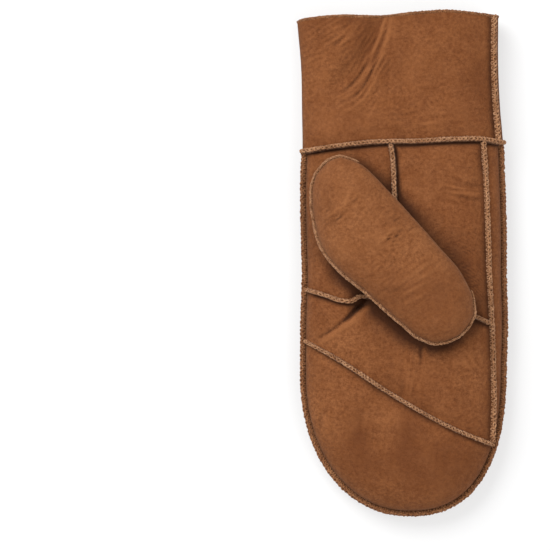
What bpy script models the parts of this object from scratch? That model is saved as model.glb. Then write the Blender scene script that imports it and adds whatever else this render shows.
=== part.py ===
"""A shearling leather mitten for the right hand, lying on its back with the palm up.

X runs from the thumb side to the little finger's side, Y from the fingertips to the cuff and Z up.
The origin lies on the table under the middle of the mitten. All lengths are in metres.

Every leather panel is a wall bent over one rounded body. The panels are drawn in plan, between the seams
that bound them, and then lifted onto the body's palm side or its back. The seams are overcast from outside:
each is a round ridge in the slot between two panels.
"""

import math
from collections import namedtuple

import bmesh
import bpy
import numpy as np

# Driving sizes
HAND_LENGTH = 0.2052  # from the cuff's seam to the seam round the fingertips
CUFF_LENGTH = 0.0715
HAND_HALF = 0.0560  # half the width across the edge seams
TIP_LENGTH = 0.0777  # the stretch over which the hand rounds off to its tip
TIP_LEAN = 0.0047  # the tip lies this far toward the little finger's side
TIP_ROUND = 2.25  # 2 is an ellipse, more is blunter
EDGE_HEIGHT = 0.0130  # of the edge seam over the table
CROWN = 0.0180  # the palm's middle over the edge seam
PALM_ROLL = 0.0320  # the palm rounds down to its edge over this width
BACK_ROLL = 0.0220  # the back rounds up from the table over this width
WALL = 0.0030  # thickness of the hide
SEAM_RADIUS = 0.0016
SEAM_SLOT = 0.0021  # from a seam's middle line to the panel beside it
SEAM_SINK = 0.0017  # the leather is drawn in this deep along a seam
SINK_REACH = 0.0090  # and comes back to its full height this far from it
END_GAP = 0.0036  # a ridge ends this far from the middle line of the ridge that it meets
RIM_JOINT_GAP = 0.0008  # between the edge seam and the strip's seam, end to end
CUFF_SEAM_INSET = 0.0031  # the cuff's side seam, in from its little finger's side in plan
CUFF_SLOT_SPARE = 1.15  # the cuff's side seam lies on its steep flank, so its slot is this much wider
HEM_RADIUS = 0.0013
HEM_GAP = 0.0004

THUMB_LENGTH = 0.1192
THUMB_WIDTH = 0.0400
THUMB_THICKNESS = 0.0170
THUMB_TURN = math.radians(-54.5)  # the thumb's direction in plan, from the root to the tip
THUMB_RIM_SHARE = 0.45  # height of the thumb's edge within its thickness
THUMB_ROLL = 0.0170  # the thumb rounds off to its edge over this width
THUMB_FLAT_ROLL = 0.0100  # and less where it lies on the palm
THUMB_CLEARANCE = 0.0009  # between the thumb and the palm under it
THUMB_LEATHER_INSET = SEAM_RADIUS + 0.0004  # the thumb's leather lies this far inside its seam's line
THUMB_HOLE_LENGTH = 0.0400
THUMB_HOLE_WIDTH = 0.0240
THUMB_HOLE_DOWN = 0.27  # the hole's middle, as a share of the thumb's length
THUMB_HOLE_ACROSS = -0.24  # and as a share of its width
CELL = 0.0078  # the usual size of a facet
SEAM_STEP = 0.0070
THUMB_SEAM_STEP = 0.0045  # shorter, for its tight turns
THUMB_ROWS = 22
OVERRUN = 0.012  # a drawn line runs on this far, to be sure of crossing its neighbours
LENGTH_SHIFT = 0.0005  # puts the mitten's middle over the origin

TIP_Y = SEAM_RADIUS - (HAND_LENGTH + CUFF_LENGTH) / 2 - LENGTH_SHIFT
JOIN_Y = TIP_Y + HAND_LENGTH
MOUTH_Y = JOIN_Y + CUFF_LENGTH

LEATHER = (0.27, 0.105, 0.040, 1.0)
SEAM_BROWN = (0.36, 0.19, 0.09, 1.0)

# The edge seam's line above the tip's round: down is a share of HAND_LENGTH from the cuff's seam,
# the sides are shares of HAND_HALF.
Side = namedtuple("Side", "down thumb_side outer_side")
HAND_SIDES = [
    Side(-0.08, 0.955, 0.965),
    Side(0.00, 0.955, 0.965),
    Side(0.12, 0.970, 0.980),
    Side(0.24, 0.966, 0.993),
    Side(0.36, 0.955, 0.993),
    Side(0.50, 0.970, 1.005),
    Side(0.60, 0.972, 0.995),
    Side(1.00, 0.970, 0.990),
]
# The cuff's folded sides: up is a share of CUFF_LENGTH.
CuffSide = namedtuple("CuffSide", "up thumb_side outer_side")
CUFF_SIDES = [
    CuffSide(-0.20, 0.980, 0.990),
    CuffSide(0.00, 0.980, 0.988),
    CuffSide(0.20, 0.985, 0.965),
    CuffSide(0.55, 0.993, 0.943),
    CuffSide(0.95, 1.035, 0.943),
    CuffSide(1.20, 1.045, 0.943),
]
# Height of the palm side along the mitten: along runs from the mouth, 0, to the tip, 1.
Rise = namedtuple("Rise", "along crown")
RISES = [
    Rise(-0.10, 0.80),
    Rise(0.00, 0.80),
    Rise(0.14, 0.76),
    Rise(0.26, 0.84),
    Rise(0.42, 1.00),
    Rise(0.62, 1.00),
    Rise(0.82, 0.93),
    Rise(1.00, 0.84),
]
# The seam between cuff and hand: across is a share of HAND_HALF, the rises are shares of CUFF_LENGTH.
Join = namedtuple("Join", "across palm back")
JOINS = [
    Join(-1.20, -0.105, -0.105),
    Join(-0.98, -0.085, -0.085),
    Join(-0.66, -0.048, -0.015),
    Join(-0.30, -0.012, 0.035),
    Join(0.15, 0.000, 0.052),
    Join(0.50, 0.018, 0.045),
    Join(0.78, 0.016, 0.020),
    Join(0.98, -0.018, -0.018),
    Join(1.20, -0.030, -0.030),
]
# The cuff's mouth, with the same columns read as one rise each.
MOUTHS = [
    Join(-1.20, -0.050, -0.050),
    Join(-0.98, -0.045, -0.045),
    Join(-0.66, -0.034, -0.020),
    Join(-0.15, -0.040, -0.030),
    Join(0.20, -0.012, -0.020),
    Join(0.50, 0.000, -0.015),
    Join(0.80, -0.020, -0.025),
    Join(0.95, -0.030, -0.030),
    Join(1.20, -0.040, -0.040),
]
# Points on a hand seam: across is a share of HAND_HALF, down a share of HAND_LENGTH.
At = namedtuple("At", "across down")
THUMB_ROOT = At(-0.7214, 0.0548)  # the thumb's upper end
PALM_CENTRE = [At(-0.137, 0.000), At(-0.093, 0.050), At(-0.071, 0.130), At(-0.060, 0.300), At(-0.040, 0.440)]
PALM_CROSS = [
    At(-0.957, 0.399),
    At(-0.670, 0.424),
    At(-0.440, 0.428),
    At(0.100, 0.450),
    At(0.698, 0.471),
    At(0.870, 0.494),
]
PALM_DIAGONAL = [At(-0.957, 0.538), At(-0.670, 0.581), At(-0.093, 0.683), At(0.482, 0.770), At(0.925, 0.820)]
PALM_STRIP = [
    At(0.786, 0.000),
    At(0.814, 0.130),
    At(0.843, 0.366),
    At(0.880, 0.585),
    At(0.888, 0.700),
    At(0.878, 0.800),
]
BACK_CENTRE = [
    At(-0.004, -0.010),
    At(-0.050, 0.150),
    At(-0.087, 0.460),
    At(-0.062, 0.640),
    At(-0.030, 0.880),
    At(0.010, 0.995),
]
BACK_CROSS = [
    At(-0.960, 0.465),
    At(-0.660, 0.495),
    At(-0.310, 0.524),
    At(-0.090, 0.527),
    At(0.330, 0.499),
    At(0.790, 0.466),
    At(0.980, 0.463),
]
# The leather's edge round the thumb: along is a share of THUMB_LENGTH from the root, the offsets to the
# seam side and to the folded side are shares of THUMB_WIDTH.
ThumbSection = namedtuple("ThumbSection", "along seam_side fold_side")
THUMB_SECTIONS = [
    ThumbSection(0.000, -0.030, -0.030),
    ThumbSection(0.012, -0.200, 0.100),
    ThumbSection(0.040, -0.350, 0.200),
    ThumbSection(0.100, -0.510, 0.315),
    ThumbSection(0.180, -0.645, 0.375),
    ThumbSection(0.265, -0.755, 0.410),
    ThumbSection(0.350, -0.795, 0.445),
    ThumbSection(0.420, -0.780, 0.468),
    ThumbSection(0.600, -0.645, 0.525),
    ThumbSection(0.800, -0.505, 0.560),
    ThumbSection(0.920, -0.385, 0.455),
    ThumbSection(0.975, -0.225, 0.300),
    ThumbSection(0.993, -0.080, 0.160),
    ThumbSection(1.000, 0.040, 0.040),
]
# Thickness of the thumb along it, as shares of THUMB_THICKNESS.
ThumbDepth = namedtuple("ThumbDepth", "along depth")
THUMB_DEPTHS = [ThumbDepth(0.0, 0.78), ThumbDepth(0.3, 0.92), ThumbDepth(0.6, 1.0), ThumbDepth(1.0, 0.96)]
# Where the thumb's seam starts and ends on the folded side, as shares of that side's length.
THUMB_SEAM_START = 0.05
THUMB_SEAM_END = 0.93

# Folds and dents: each is a soft groove between two points, across as a share of HAND_HALF and down as a
# share of HAND_LENGTH (above the cuff's seam it is negative). Its half width and its depth are in metres.
Fold = namedtuple("Fold", "start end half_width depth")
PALM_FOLDS = [
    Fold(At(-0.115, -0.340), At(-0.50, -0.105), 0.0060, 0.0024),
    Fold(At(-0.62, -0.290), At(-0.75, -0.160), 0.0080, 0.0010),
    Fold(At(-0.05, 0.590), At(-0.04, 0.680), 0.0090, 0.0012),
    Fold(At(0.45, 0.160), At(0.70, 0.195), 0.0070, 0.0010),
]
BACK_FOLDS = [
    Fold(At(-0.03, 0.690), At(0.58, 0.600), 0.0070, 0.0014),
    Fold(At(0.82, 0.520), At(0.60, 0.720), 0.0080, 0.0014),
]


def clear_scene():
    for old in list(bpy.data.objects):
        bpy.data.objects.remove(old, do_unlink=True)


def column(rows, name):
    return np.array([getattr(row, name) for row in rows])


def read_table(rows, key, value, at):
    """A smooth curve through the rows of a table, read at the given keys."""
    keys, values = column(rows, key), column(rows, value)
    slopes = np.gradient(values, keys)
    at = np.clip(at, keys[0], keys[-1])
    i = np.clip(np.searchsorted(keys, at, side="right") - 1, 0, len(keys) - 2)
    span = keys[i + 1] - keys[i]
    t = (at - keys[i]) / span
    start = values[i] * (1 + 2 * t) * (1 - t) ** 2 + slopes[i] * span * t * (1 - t) ** 2
    end = values[i + 1] * t**2 * (3 - 2 * t) - slopes[i + 1] * span * t**2 * (1 - t)
    return start + end


# Lines in plan, as arrays of points


def lengths_along(line):
    steps = np.linalg.norm(np.diff(line, axis=0), axis=1)
    return np.concatenate([[0.0], np.cumsum(steps)])


def points_at(line, places):
    """Points of a line at the given lengths along it."""
    along = lengths_along(line)
    return np.stack([np.interp(places, along, line[:, k]) for k in range(line.shape[1])], axis=1)


def stretch(line, first, last):
    """The part of a line between two lengths along it, turned round if they run backward."""
    along = lengths_along(line)
    low, high = min(first, last), max(first, last)
    inner = line[(along > low + 1e-6) & (along < high - 1e-6)]
    part = np.vstack([points_at(line, [low]), inner, points_at(line, [high])])
    return part if first <= last else part[::-1]


def curve_through(points, steps=12):
    """A smooth line through a few points, run on straight past both ends."""
    points = np.array(points, float)
    places = lengths_along(points)
    slopes = np.gradient(points, places, axis=0)
    out = []
    for i in range(len(points) - 1):
        span = places[i + 1] - places[i]
        for t in np.arange(steps) / steps:
            out.append(
                points[i] * (1 + 2 * t) * (1 - t) ** 2
                + points[i + 1] * t**2 * (3 - 2 * t)
                + slopes[i] * span * t * (1 - t) ** 2
                - slopes[i + 1] * span * t**2 * (1 - t)
            )
    out.append(points[-1])
    line = np.array(out)
    head = line[0] - (line[1] - line[0]) / np.linalg.norm(line[1] - line[0]) * OVERRUN
    tail = line[-1] + (line[-1] - line[-2]) / np.linalg.norm(line[-1] - line[-2]) * OVERRUN
    return np.vstack([head, line, tail])


def meet(line, other, last=False):
    """Where two lines cross, as a length along each: the first crossing along the first line, or the last."""
    a, b = line[:-1, None], line[1:, None]
    c, d = other[None, :-1], other[None, 1:]
    r, s = b - a, d - c
    cross = r[..., 0] * s[..., 1] - r[..., 1] * s[..., 0]
    cross = np.where(abs(cross) < 1e-15, 1e-15, cross)
    t = ((c - a)[..., 0] * s[..., 1] - (c - a)[..., 1] * s[..., 0]) / cross
    u = ((c - a)[..., 0] * r[..., 1] - (c - a)[..., 1] * r[..., 0]) / cross
    hits = np.argwhere((t >= 0) & (t <= 1) & (u >= 0) & (u <= 1))
    i, j = hits[-1 if last else 0]
    along, beside = lengths_along(line), lengths_along(other)
    return along[i] + t[i, j] * (along[i + 1] - along[i]), beside[j] + u[i, j] * (beside[j + 1] - beside[j])


def distance_to(points, line):
    """How far each point lies from a line, in plan."""
    a, b = line[None, :-1], line[None, 1:]
    p = points[:, None, :2]
    ab = b - a
    t = np.clip(((p - a) * ab).sum(2) / np.maximum((ab * ab).sum(2), 1e-15), 0, 1)
    return np.linalg.norm(p - a - t[..., None] * ab, axis=2).min(axis=1)


def hand_point(at):
    return (at.across * HAND_HALF, JOIN_Y - at.down * HAND_LENGTH)


def hand_rim():
    """The edge seam's line: down the thumb side, round the tip and up the little finger's side."""
    straight = HAND_LENGTH - TIP_LENGTH
    downs = np.linspace(-OVERRUN, straight, 24)
    level = np.ones(len(downs))
    turns = np.linspace(0, math.pi / 2, 20)[1:]
    rounds = np.sin(turns)
    narrow = (1 - rounds**TIP_ROUND) ** (1 / TIP_ROUND)
    down = np.concatenate([downs, straight + rounds * TIP_LENGTH])
    taper = np.concatenate([level, narrow])
    lean = np.concatenate([0 * level, rounds**2 * TIP_LEAN])
    share = down / HAND_LENGTH
    y = JOIN_Y - down
    thumb_x = -read_table(HAND_SIDES, "down", "thumb_side", share) * HAND_HALF * taper + lean
    outer_x = read_table(HAND_SIDES, "down", "outer_side", share) * HAND_HALF * taper + lean
    thumb_line = np.stack([thumb_x, y], axis=1)
    outer_line = np.stack([outer_x, y], axis=1)
    return np.vstack([thumb_line, outer_line[-2::-1]])


def cuff_side(name, sign):
    ups = np.linspace(-0.2, 1.2, 15)
    x = sign * read_table(CUFF_SIDES, "up", name, ups) * HAND_HALF
    return np.stack([x, JOIN_Y + ups * CUFF_LENGTH], axis=1)


def level_line(rows, name, base_y):
    across = np.linspace(-1.15, 1.15, 47)
    y = base_y + read_table(rows, "across", name, across) * CUFF_LENGTH
    return np.stack([across * HAND_HALF, y], axis=1)


RIM = hand_rim()
CUFF_THUMB_SIDE = cuff_side("thumb_side", -1)
CUFF_OUTER_SIDE = cuff_side("outer_side", 1)
JOIN_PALM = level_line(JOINS, "palm", JOIN_Y)
JOIN_BACK = level_line(JOINS, "back", JOIN_Y)
MOUTH_PALM = level_line(MOUTHS, "palm", MOUTH_Y)
MOUTH_BACK = level_line(MOUTHS, "back", MOUTH_Y)
CENTRE_PALM, CROSS_PALM, DIAGONAL, STRIP, CENTRE_BACK, CROSS_BACK = (
    curve_through([hand_point(at) for at in table])
    for table in (PALM_CENTRE, PALM_CROSS, PALM_DIAGONAL, PALM_STRIP, BACK_CENTRE, BACK_CROSS)
)
HAND_EDGES = [RIM]
CUFF_EDGES = [CUFF_THUMB_SIDE, CUFF_OUTER_SIDE]


# The rounded body that the panels lie on


def roll(distance, width):
    """Height share of a surface that rounds down to its edge, at a distance from that edge."""
    t = np.clip(distance / width, 0, 1)
    return np.sqrt(1 - (1 - t) ** 2)


def drawn_in(points, seams):
    nearest = np.min([distance_to(points, seam) for seam in seams], axis=0)
    t = np.clip(nearest / SINK_REACH, 0, 1)
    return SEAM_SINK * (1 - t**2) ** 2


def folded(points, folds):
    """Depth of the folds and dents at each point."""
    depth = np.zeros(len(points))
    for fold in folds:
        line = np.array([hand_point(fold.start), hand_point(fold.end)])
        depth += fold.depth * np.exp(-((distance_to(points, line) / fold.half_width) ** 2))
    return depth


def crown_at(points):
    along = (MOUTH_Y - points[:, 1]) / (MOUTH_Y - TIP_Y)
    return CROWN * read_table(RISES, "along", "crown", along)


def edge_share(points, edges, width):
    nearest = np.min([distance_to(points, edge) for edge in edges], axis=0)
    return roll(nearest, width)


def palm_base(points, edges, slot):
    """Height of the palm side with no seam or fold in it."""
    return EDGE_HEIGHT + slot + (crown_at(points) - slot) * edge_share(points, edges, PALM_ROLL)


def palm_height(points, edges=HAND_EDGES, slot=SEAM_SLOT):
    share = edge_share(points, edges, PALM_ROLL)
    sunk = drawn_in(points, PALM_SEAMS) + folded(points, PALM_FOLDS)
    return palm_base(points, edges, slot) - share * sunk


def back_height(points, edges=HAND_EDGES, slot=SEAM_SLOT):
    share = edge_share(points, edges, BACK_ROLL)
    sunk = drawn_in(points, BACK_SEAMS) + folded(points, BACK_FOLDS)
    return (EDGE_HEIGHT - slot) * (1 - share) + share * sunk


PALM_SEAMS = [JOIN_PALM, CENTRE_PALM, CROSS_PALM, DIAGONAL, STRIP]
BACK_SEAMS = [JOIN_BACK, CENTRE_BACK, CROSS_BACK]


def beside(line, side, height):
    """A line moved to one side in plan, so that it lies a seam's slot away on the bent surface."""
    along = np.gradient(line, axis=0)
    along /= np.linalg.norm(along, axis=1)[:, None]
    out = side * np.stack([-along[:, 1], along[:, 0]], axis=1)
    slope = (height(line + out * SEAM_SLOT) - height(line)) / SEAM_SLOT
    return line + out * (SEAM_SLOT / np.sqrt(1 + slope**2))[:, None]


# Panels in plan


def shares_between(count, close_at_start, close_at_end):
    """Shares from 0 to 1, closer together at an end where the surface rounds off."""
    even = np.linspace(0, 1, count + 1)
    if close_at_start and close_at_end:
        return (1 - np.cos(even * math.pi)) / 2
    if close_at_start:
        return 1 - np.cos(even * math.pi / 2)
    if close_at_end:
        return np.sin(even * math.pi / 2)
    return even


def blended(up, down, left, right, across, along):
    """Points of a four-sided patch, blended between its edges. Rows run down, columns run to the right."""
    top, bottom, start, end = (
        points_at(line, shares * lengths_along(line)[-1])
        for line, shares in ((up, across), (down, across), (left, along), (right, along))
    )
    u, v = across[None, :, None], along[:, None, None]
    return (
        (1 - v) * top[None]
        + v * bottom[None]
        + (1 - u) * start[:, None]
        + u * end[:, None]
        - (1 - u) * (1 - v) * top[0]
        - u * (1 - v) * top[-1]
        - (1 - u) * v * bottom[0]
        - u * v * bottom[-1]
    )


def cells(line):
    return max(2, round(lengths_along(line)[-1] / CELL))


def four_sided(up, down, left, right):
    """Plan grid of a panel between four lines. A side may be the rim."""
    up_left, up_right = meet(up, left), meet(up, right, last=True)
    down_left, down_right = meet(down, left), meet(down, right, last=True)
    top = stretch(up, up_left[0], up_right[0])
    bottom = stretch(down, down_left[0], down_right[0])
    start = stretch(left, up_left[1], down_left[1])
    end = stretch(right, up_right[1], down_right[1])
    across = shares_between(cells(top), left is RIM, right is RIM)
    along = shares_between(cells(start), False, False)
    return blended(top, bottom, start, end, across, along)


def three_sided(up, left, right):
    """Plan grid of a panel that runs down to a corner at the tip. One of its sides is the rim."""
    up_left, up_right = meet(up, left), meet(up, right, last=True)
    seam, on_left = (right, False) if left is RIM else (left, True)
    tip_seam, tip_rim = meet(seam, RIM)
    top = stretch(up, up_left[0], up_right[0])
    start = stretch(left, up_left[1], tip_seam if on_left else tip_rim)
    end = stretch(right, up_right[1], tip_rim if on_left else tip_seam)
    corner = np.vstack([start[-1], start[-1]])
    across = shares_between(cells(top), left is RIM, right is RIM)
    along = shares_between(cells(start), False, True)
    return blended(top, corner, start, end, across, along)


def crescent(up):
    """Plan grid of a panel between one line and the rim below it."""
    first, last = meet(up, RIM), meet(up, RIM, last=True)
    top = stretch(up, first[0], last[0])
    bottom = stretch(RIM, first[1], last[1])
    start = np.vstack([top[0], top[0]])
    end = np.vstack([top[-1], top[-1]])
    across = shares_between(cells(top) + 2, True, True)
    along = shares_between(round(0.6 * cells(top)), False, True)
    return blended(top, bottom, start, end, across, along)


# Meshes


def material(name, colour, roughness):
    made = bpy.data.materials.new(name)
    made.use_nodes = True
    shader = made.node_tree.nodes["Principled BSDF"]
    shader.inputs["Base Color"].default_value = colour
    shader.inputs["Roughness"].default_value = roughness
    shader.inputs["Metallic"].default_value = 0.0
    return made


def place(name, data, colour):
    obj = bpy.data.objects.new(name, data)
    data.materials.append(material(name, colour, 0.85))
    PARTS.objects.link(obj)
    obj.parent = MITTEN
    return obj


def add_sheet(bm, grid, facing_up):
    """A grid of points as faces of a mesh."""
    rows, columns = grid.shape[:2]
    made = bmesh.ops.create_grid(bm, x_segments=columns - 1, y_segments=rows - 1, size=1)
    for vert in made["verts"]:
        i = round((1 - vert.co.y) / 2 * (rows - 1))
        j = round((vert.co.x + 1) / 2 * (columns - 1))
        vert.co = grid[i, j]
    if not facing_up:
        faces = {face for vert in made["verts"] for face in vert.link_faces}
        bmesh.ops.reverse_faces(bm, faces=list(faces))


def leather(name, grids, solid=False):
    """A wall of hide: its outer faces from grids of points, thickened inward unless they close already."""
    bm = bmesh.new()
    for grid, facing_up in grids:
        add_sheet(bm, grid, facing_up)
    bmesh.ops.remove_doubles(bm, verts=bm.verts, dist=1e-5)
    mesh = bpy.data.meshes.new(name)
    bm.to_mesh(mesh)
    bm.free()
    mesh.shade_smooth()
    obj = place(name, mesh, LEATHER)
    if solid:
        return obj
    wall = obj.modifiers.new("hide", "SOLIDIFY")
    wall.thickness = WALL
    wall.offset = -1
    return obj


def lifted(plan, height):
    flat = plan.reshape(-1, 2)
    return np.column_stack([flat, height(flat)]).reshape(*plan.shape[:2], 3)


def palm_panel(name, plan):
    return leather(name, [(lifted(plan, palm_height), True)])


def back_panel(name, plan):
    return leather(name, [(lifted(plan, back_height), False)])


def ridge(name, path, radius=SEAM_RADIUS, closed=False):
    """A round ridge of overcast stitches along a path."""
    curve = bpy.data.curves.new(name, "CURVE")
    curve.dimensions = "3D"
    curve.bevel_depth = radius
    curve.bevel_resolution = 1
    curve.use_fill_caps = not closed
    spline = curve.splines.new("POLY")
    spline.points.add(len(path) - 1)
    for point, place_at in zip(spline.points, path):
        point.co = (*place_at, 1.0)
    spline.use_cyclic_u = closed
    return place(name, curve, SEAM_BROWN)


def even_steps(path, closed=False, step=SEAM_STEP):
    total = lengths_along(path)[-1]
    count = max(2, round(total / step))
    places = np.linspace(0, total, count + 1)
    return points_at(path, places[:-1] if closed else places)


def trimmed(path, start_gap, end_gap):
    total = lengths_along(path)[-1]
    return stretch(path, start_gap, total - end_gap)


def dense(line):
    return points_at(line, np.linspace(0, lengths_along(line)[-1], 200))


def lay_ridge(name, line, height, start_gap=END_GAP, end_gap=END_GAP):
    """A ridge over a line in plan, laid on the surface and cut short at both ends."""
    flat = dense(line)
    path = np.column_stack([flat, height(flat)])
    return ridge(name, even_steps(trimmed(path, start_gap, end_gap)))


# Pieces


def hand_panels():
    up_palm = beside(JOIN_PALM, -1, palm_height)
    above_cross = beside(CROSS_PALM, 1, palm_height)
    below_cross = beside(CROSS_PALM, -1, palm_height)
    above_diagonal = beside(DIAGONAL, 1, palm_height)
    below_diagonal = beside(DIAGONAL, -1, palm_height)
    # The centre and strip seams run down, so their left side is the little finger's side.
    centre_thumb_side = beside(CENTRE_PALM, -1, palm_height)
    centre_outer_side = beside(CENTRE_PALM, 1, palm_height)
    strip_inside = beside(STRIP, -1, palm_height)
    strip_outside = beside(STRIP, 1, palm_height)
    heel = palm_panel("heel_thumb_side", four_sided(up_palm, above_cross, RIM, centre_thumb_side))
    palm_panel("heel_outer_side", four_sided(up_palm, above_cross, centre_outer_side, strip_inside))
    palm_panel("palm_middle", four_sided(below_cross, above_diagonal, RIM, strip_inside))
    palm_panel("side_strip", four_sided(up_palm, above_diagonal, strip_outside, RIM))
    palm_panel("fingertip", crescent(below_diagonal))

    up_back = beside(JOIN_BACK, -1, back_height)
    above_cross = beside(CROSS_BACK, 1, back_height)
    below_cross = beside(CROSS_BACK, -1, back_height)
    centre_thumb_side = beside(CENTRE_BACK, -1, back_height)
    centre_outer_side = beside(CENTRE_BACK, 1, back_height)
    back_panel("back_upper_thumb_side", four_sided(up_back, above_cross, RIM, centre_thumb_side))
    back_panel("back_upper_outer_side", four_sided(up_back, above_cross, centre_outer_side, RIM))
    back_panel("back_lower_thumb_side", three_sided(below_cross, RIM, centre_thumb_side))
    back_panel("back_lower_outer_side", three_sided(below_cross, centre_outer_side, RIM))
    return heel


def inside(line, start, end):
    """The stretch of a line between its crossings with two others."""
    return stretch(line, meet(line, start)[0], meet(line, end, last=True)[0])


def hand_seams():
    lay_ridge("palm_centre_seam", inside(CENTRE_PALM, JOIN_PALM, CROSS_PALM), palm_height)
    lay_ridge("palm_cross_seam", inside(CROSS_PALM, RIM, STRIP), palm_height)
    lay_ridge("palm_diagonal_seam", inside(DIAGONAL, RIM, RIM), palm_height)
    lay_ridge("strip_palm_seam", inside(STRIP, JOIN_PALM, DIAGONAL), palm_height)
    lay_ridge("back_cross_seam", inside(CROSS_BACK, RIM, RIM), back_height)
    lay_ridge("back_centre_seam_upper", inside(CENTRE_BACK, JOIN_BACK, CROSS_BACK), back_height)
    lay_ridge("back_centre_seam_lower", inside(CENTRE_BACK, CROSS_BACK, RIM), back_height)
    first, last = meet(RIM, JOIN_PALM)[0], meet(RIM, JOIN_PALM, last=True)[0]
    corner = meet(RIM, DIAGONAL, last=True)[0]
    edge = stretch(RIM, first + END_GAP, corner - RIM_JOINT_GAP / 2)
    strip_back = stretch(RIM, corner + RIM_JOINT_GAP / 2, last - END_GAP)
    for name, line in (("edge_seam", edge), ("strip_back_seam", strip_back)):
        path = np.column_stack([line, np.full(len(line), EDGE_HEIGHT)])
        ridge(name, even_steps(path))


def cuff_height_palm(points):
    return palm_height(points, CUFF_EDGES, 0.0)


def cuff_height_back(points):
    return back_height(points, CUFF_EDGES, 0.0)


def cuff_turn():
    """Columns round the cuff: its share of the width from the thumb side, and whether on the palm side."""
    t = CUFF_SEAM_INSET / PALM_ROLL
    slope = CROWN / PALM_ROLL * (1 - t) / roll(CUFF_SEAM_INSET, PALM_ROLL)
    edge = CUFF_SEAM_INSET / (2 * HAND_HALF)
    slot = SEAM_SLOT / math.sqrt(1 + slope**2) * CUFF_SLOT_SPARE / (2 * HAND_HALF)
    count = round(2 * HAND_HALF / CELL)
    over = (1 - edge - slot) * (1 - shares_between(count, True, True))
    under = shares_between(count, True, True)[1:]
    return [(share, True) for share in over] + [(share, False) for share in under] + [(1 - edge + slot, True)]


def cuff_edges_at(y):
    left = np.interp(y, CUFF_THUMB_SIDE[:, 1], CUFF_THUMB_SIDE[:, 0])
    right = np.interp(y, CUFF_OUTER_SIDE[:, 1], CUFF_OUTER_SIDE[:, 0])
    return left, right


def cuff_point(share, up, palm_side, low_gap, high_gap):
    """A point of the cuff: a share of its width, and a share of the way from the hand seam to the mouth."""
    join, mouth = (JOIN_PALM, MOUTH_PALM) if palm_side else (JOIN_BACK, MOUTH_BACK)
    x = (2 * share - 1) * HAND_HALF
    low = np.interp(x, join[:, 0], join[:, 1]) + low_gap
    high = np.interp(x, mouth[:, 0], mouth[:, 1]) - high_gap
    y = low + (high - low) * up
    left, right = cuff_edges_at(y)
    flat = np.array([[left + (right - left) * share, y]])
    height = cuff_height_palm if palm_side else cuff_height_back
    return (*flat[0], height(flat)[0])


def cuff():
    columns = cuff_turn()
    rows = shares_between(round(CUFF_LENGTH / CELL), False, False)
    grid = np.array(
        [
            [cuff_point(share, up, palm, SEAM_SLOT, 2 * HEM_RADIUS + HEM_GAP) for share, palm in columns]
            for up in rows[::-1]
        ]
    )
    leather("cuff", [(grid, False)])


def cuff_ring(up, low_gap, high_gap, count):
    """A closed loop round the cuff."""
    turn = shares_between(count, True, True)
    over = [cuff_point(share, up, True, low_gap, high_gap) for share in turn[::-1]]
    under = [cuff_point(share, up, False, low_gap, high_gap) for share in turn[1:-1]]
    return np.array(over + under)


def cuff_seams():
    loop = cuff_ring(0.0, 0.0, 0.0, 60)
    ridge("cuff_hand_seam", even_steps(np.vstack([loop, loop[:1]]), closed=True), closed=True)
    hem = cuff_ring(1.0, 0.0, HEM_RADIUS, 60)
    # The hem binds the cut edge, so its middle lies inside the wall.
    inward = (np.array([0.0, 0.0, EDGE_HEIGHT]) - hem) * (1, 0, 1)
    inward /= np.linalg.norm(inward, axis=1)[:, None]
    hem = hem + inward * HEM_RADIUS
    hem[:, 2] = np.maximum(hem[:, 2], HEM_RADIUS)
    ridge("mouth_hem", even_steps(np.vstack([hem, hem[:1]]), closed=True), HEM_RADIUS, closed=True)
    share = 1 - CUFF_SEAM_INSET / (2 * HAND_HALF)
    side = np.array([cuff_point(share, up, True, 0.0, 0.0) for up in np.linspace(0, 1, 40)])
    ridge("cuff_side_seam", even_steps(trimmed(side, END_GAP, 2 * HEM_RADIUS + HEM_GAP)))


# The thumb


def thumb_plan(along, offset):
    """A point in plan from a length along the thumb and an offset toward its folded side."""
    direction = np.array([math.cos(THUMB_TURN), math.sin(THUMB_TURN)])
    sideways = np.array([-direction[1], direction[0]])
    return np.array(hand_point(THUMB_ROOT)) + np.multiply.outer(along, direction) + np.multiply.outer(offset, sideways)


def thumb_outline(rows, inset):
    """The thumb's seam side and folded side in plan, both from root to tip, moved in by an inset."""
    shares = shares_between(rows, True, True)
    seam_side, fold_side = (
        thumb_plan(shares * THUMB_LENGTH, read_table(THUMB_SECTIONS, "along", name, shares) * THUMB_WIDTH)
        for name in ("seam_side", "fold_side")
    )
    loop = np.vstack([seam_side, fold_side[-2:0:-1]])
    along = np.roll(loop, -1, axis=0) - np.roll(loop, 1, axis=0)
    along /= np.linalg.norm(along, axis=1)[:, None]
    loop = loop + inset * np.stack([-along[:, 1], along[:, 0]], axis=1)
    return loop[: rows + 1], np.vstack([loop[0], loop[: rows - 1 : -1]])


def thumb_depth(points):
    direction = np.array([math.cos(THUMB_TURN), math.sin(THUMB_TURN)])
    along = (points - np.array(hand_point(THUMB_ROOT))) @ direction / THUMB_LENGTH
    return THUMB_THICKNESS * read_table(THUMB_DEPTHS, "along", "depth", along)


def thumb_bed(points):
    return palm_base(points, HAND_EDGES, SEAM_SLOT) + THUMB_CLEARANCE


def thumb_rim_height(points):
    return thumb_bed(points) + THUMB_RIM_SHARE * thumb_depth(points)


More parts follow.
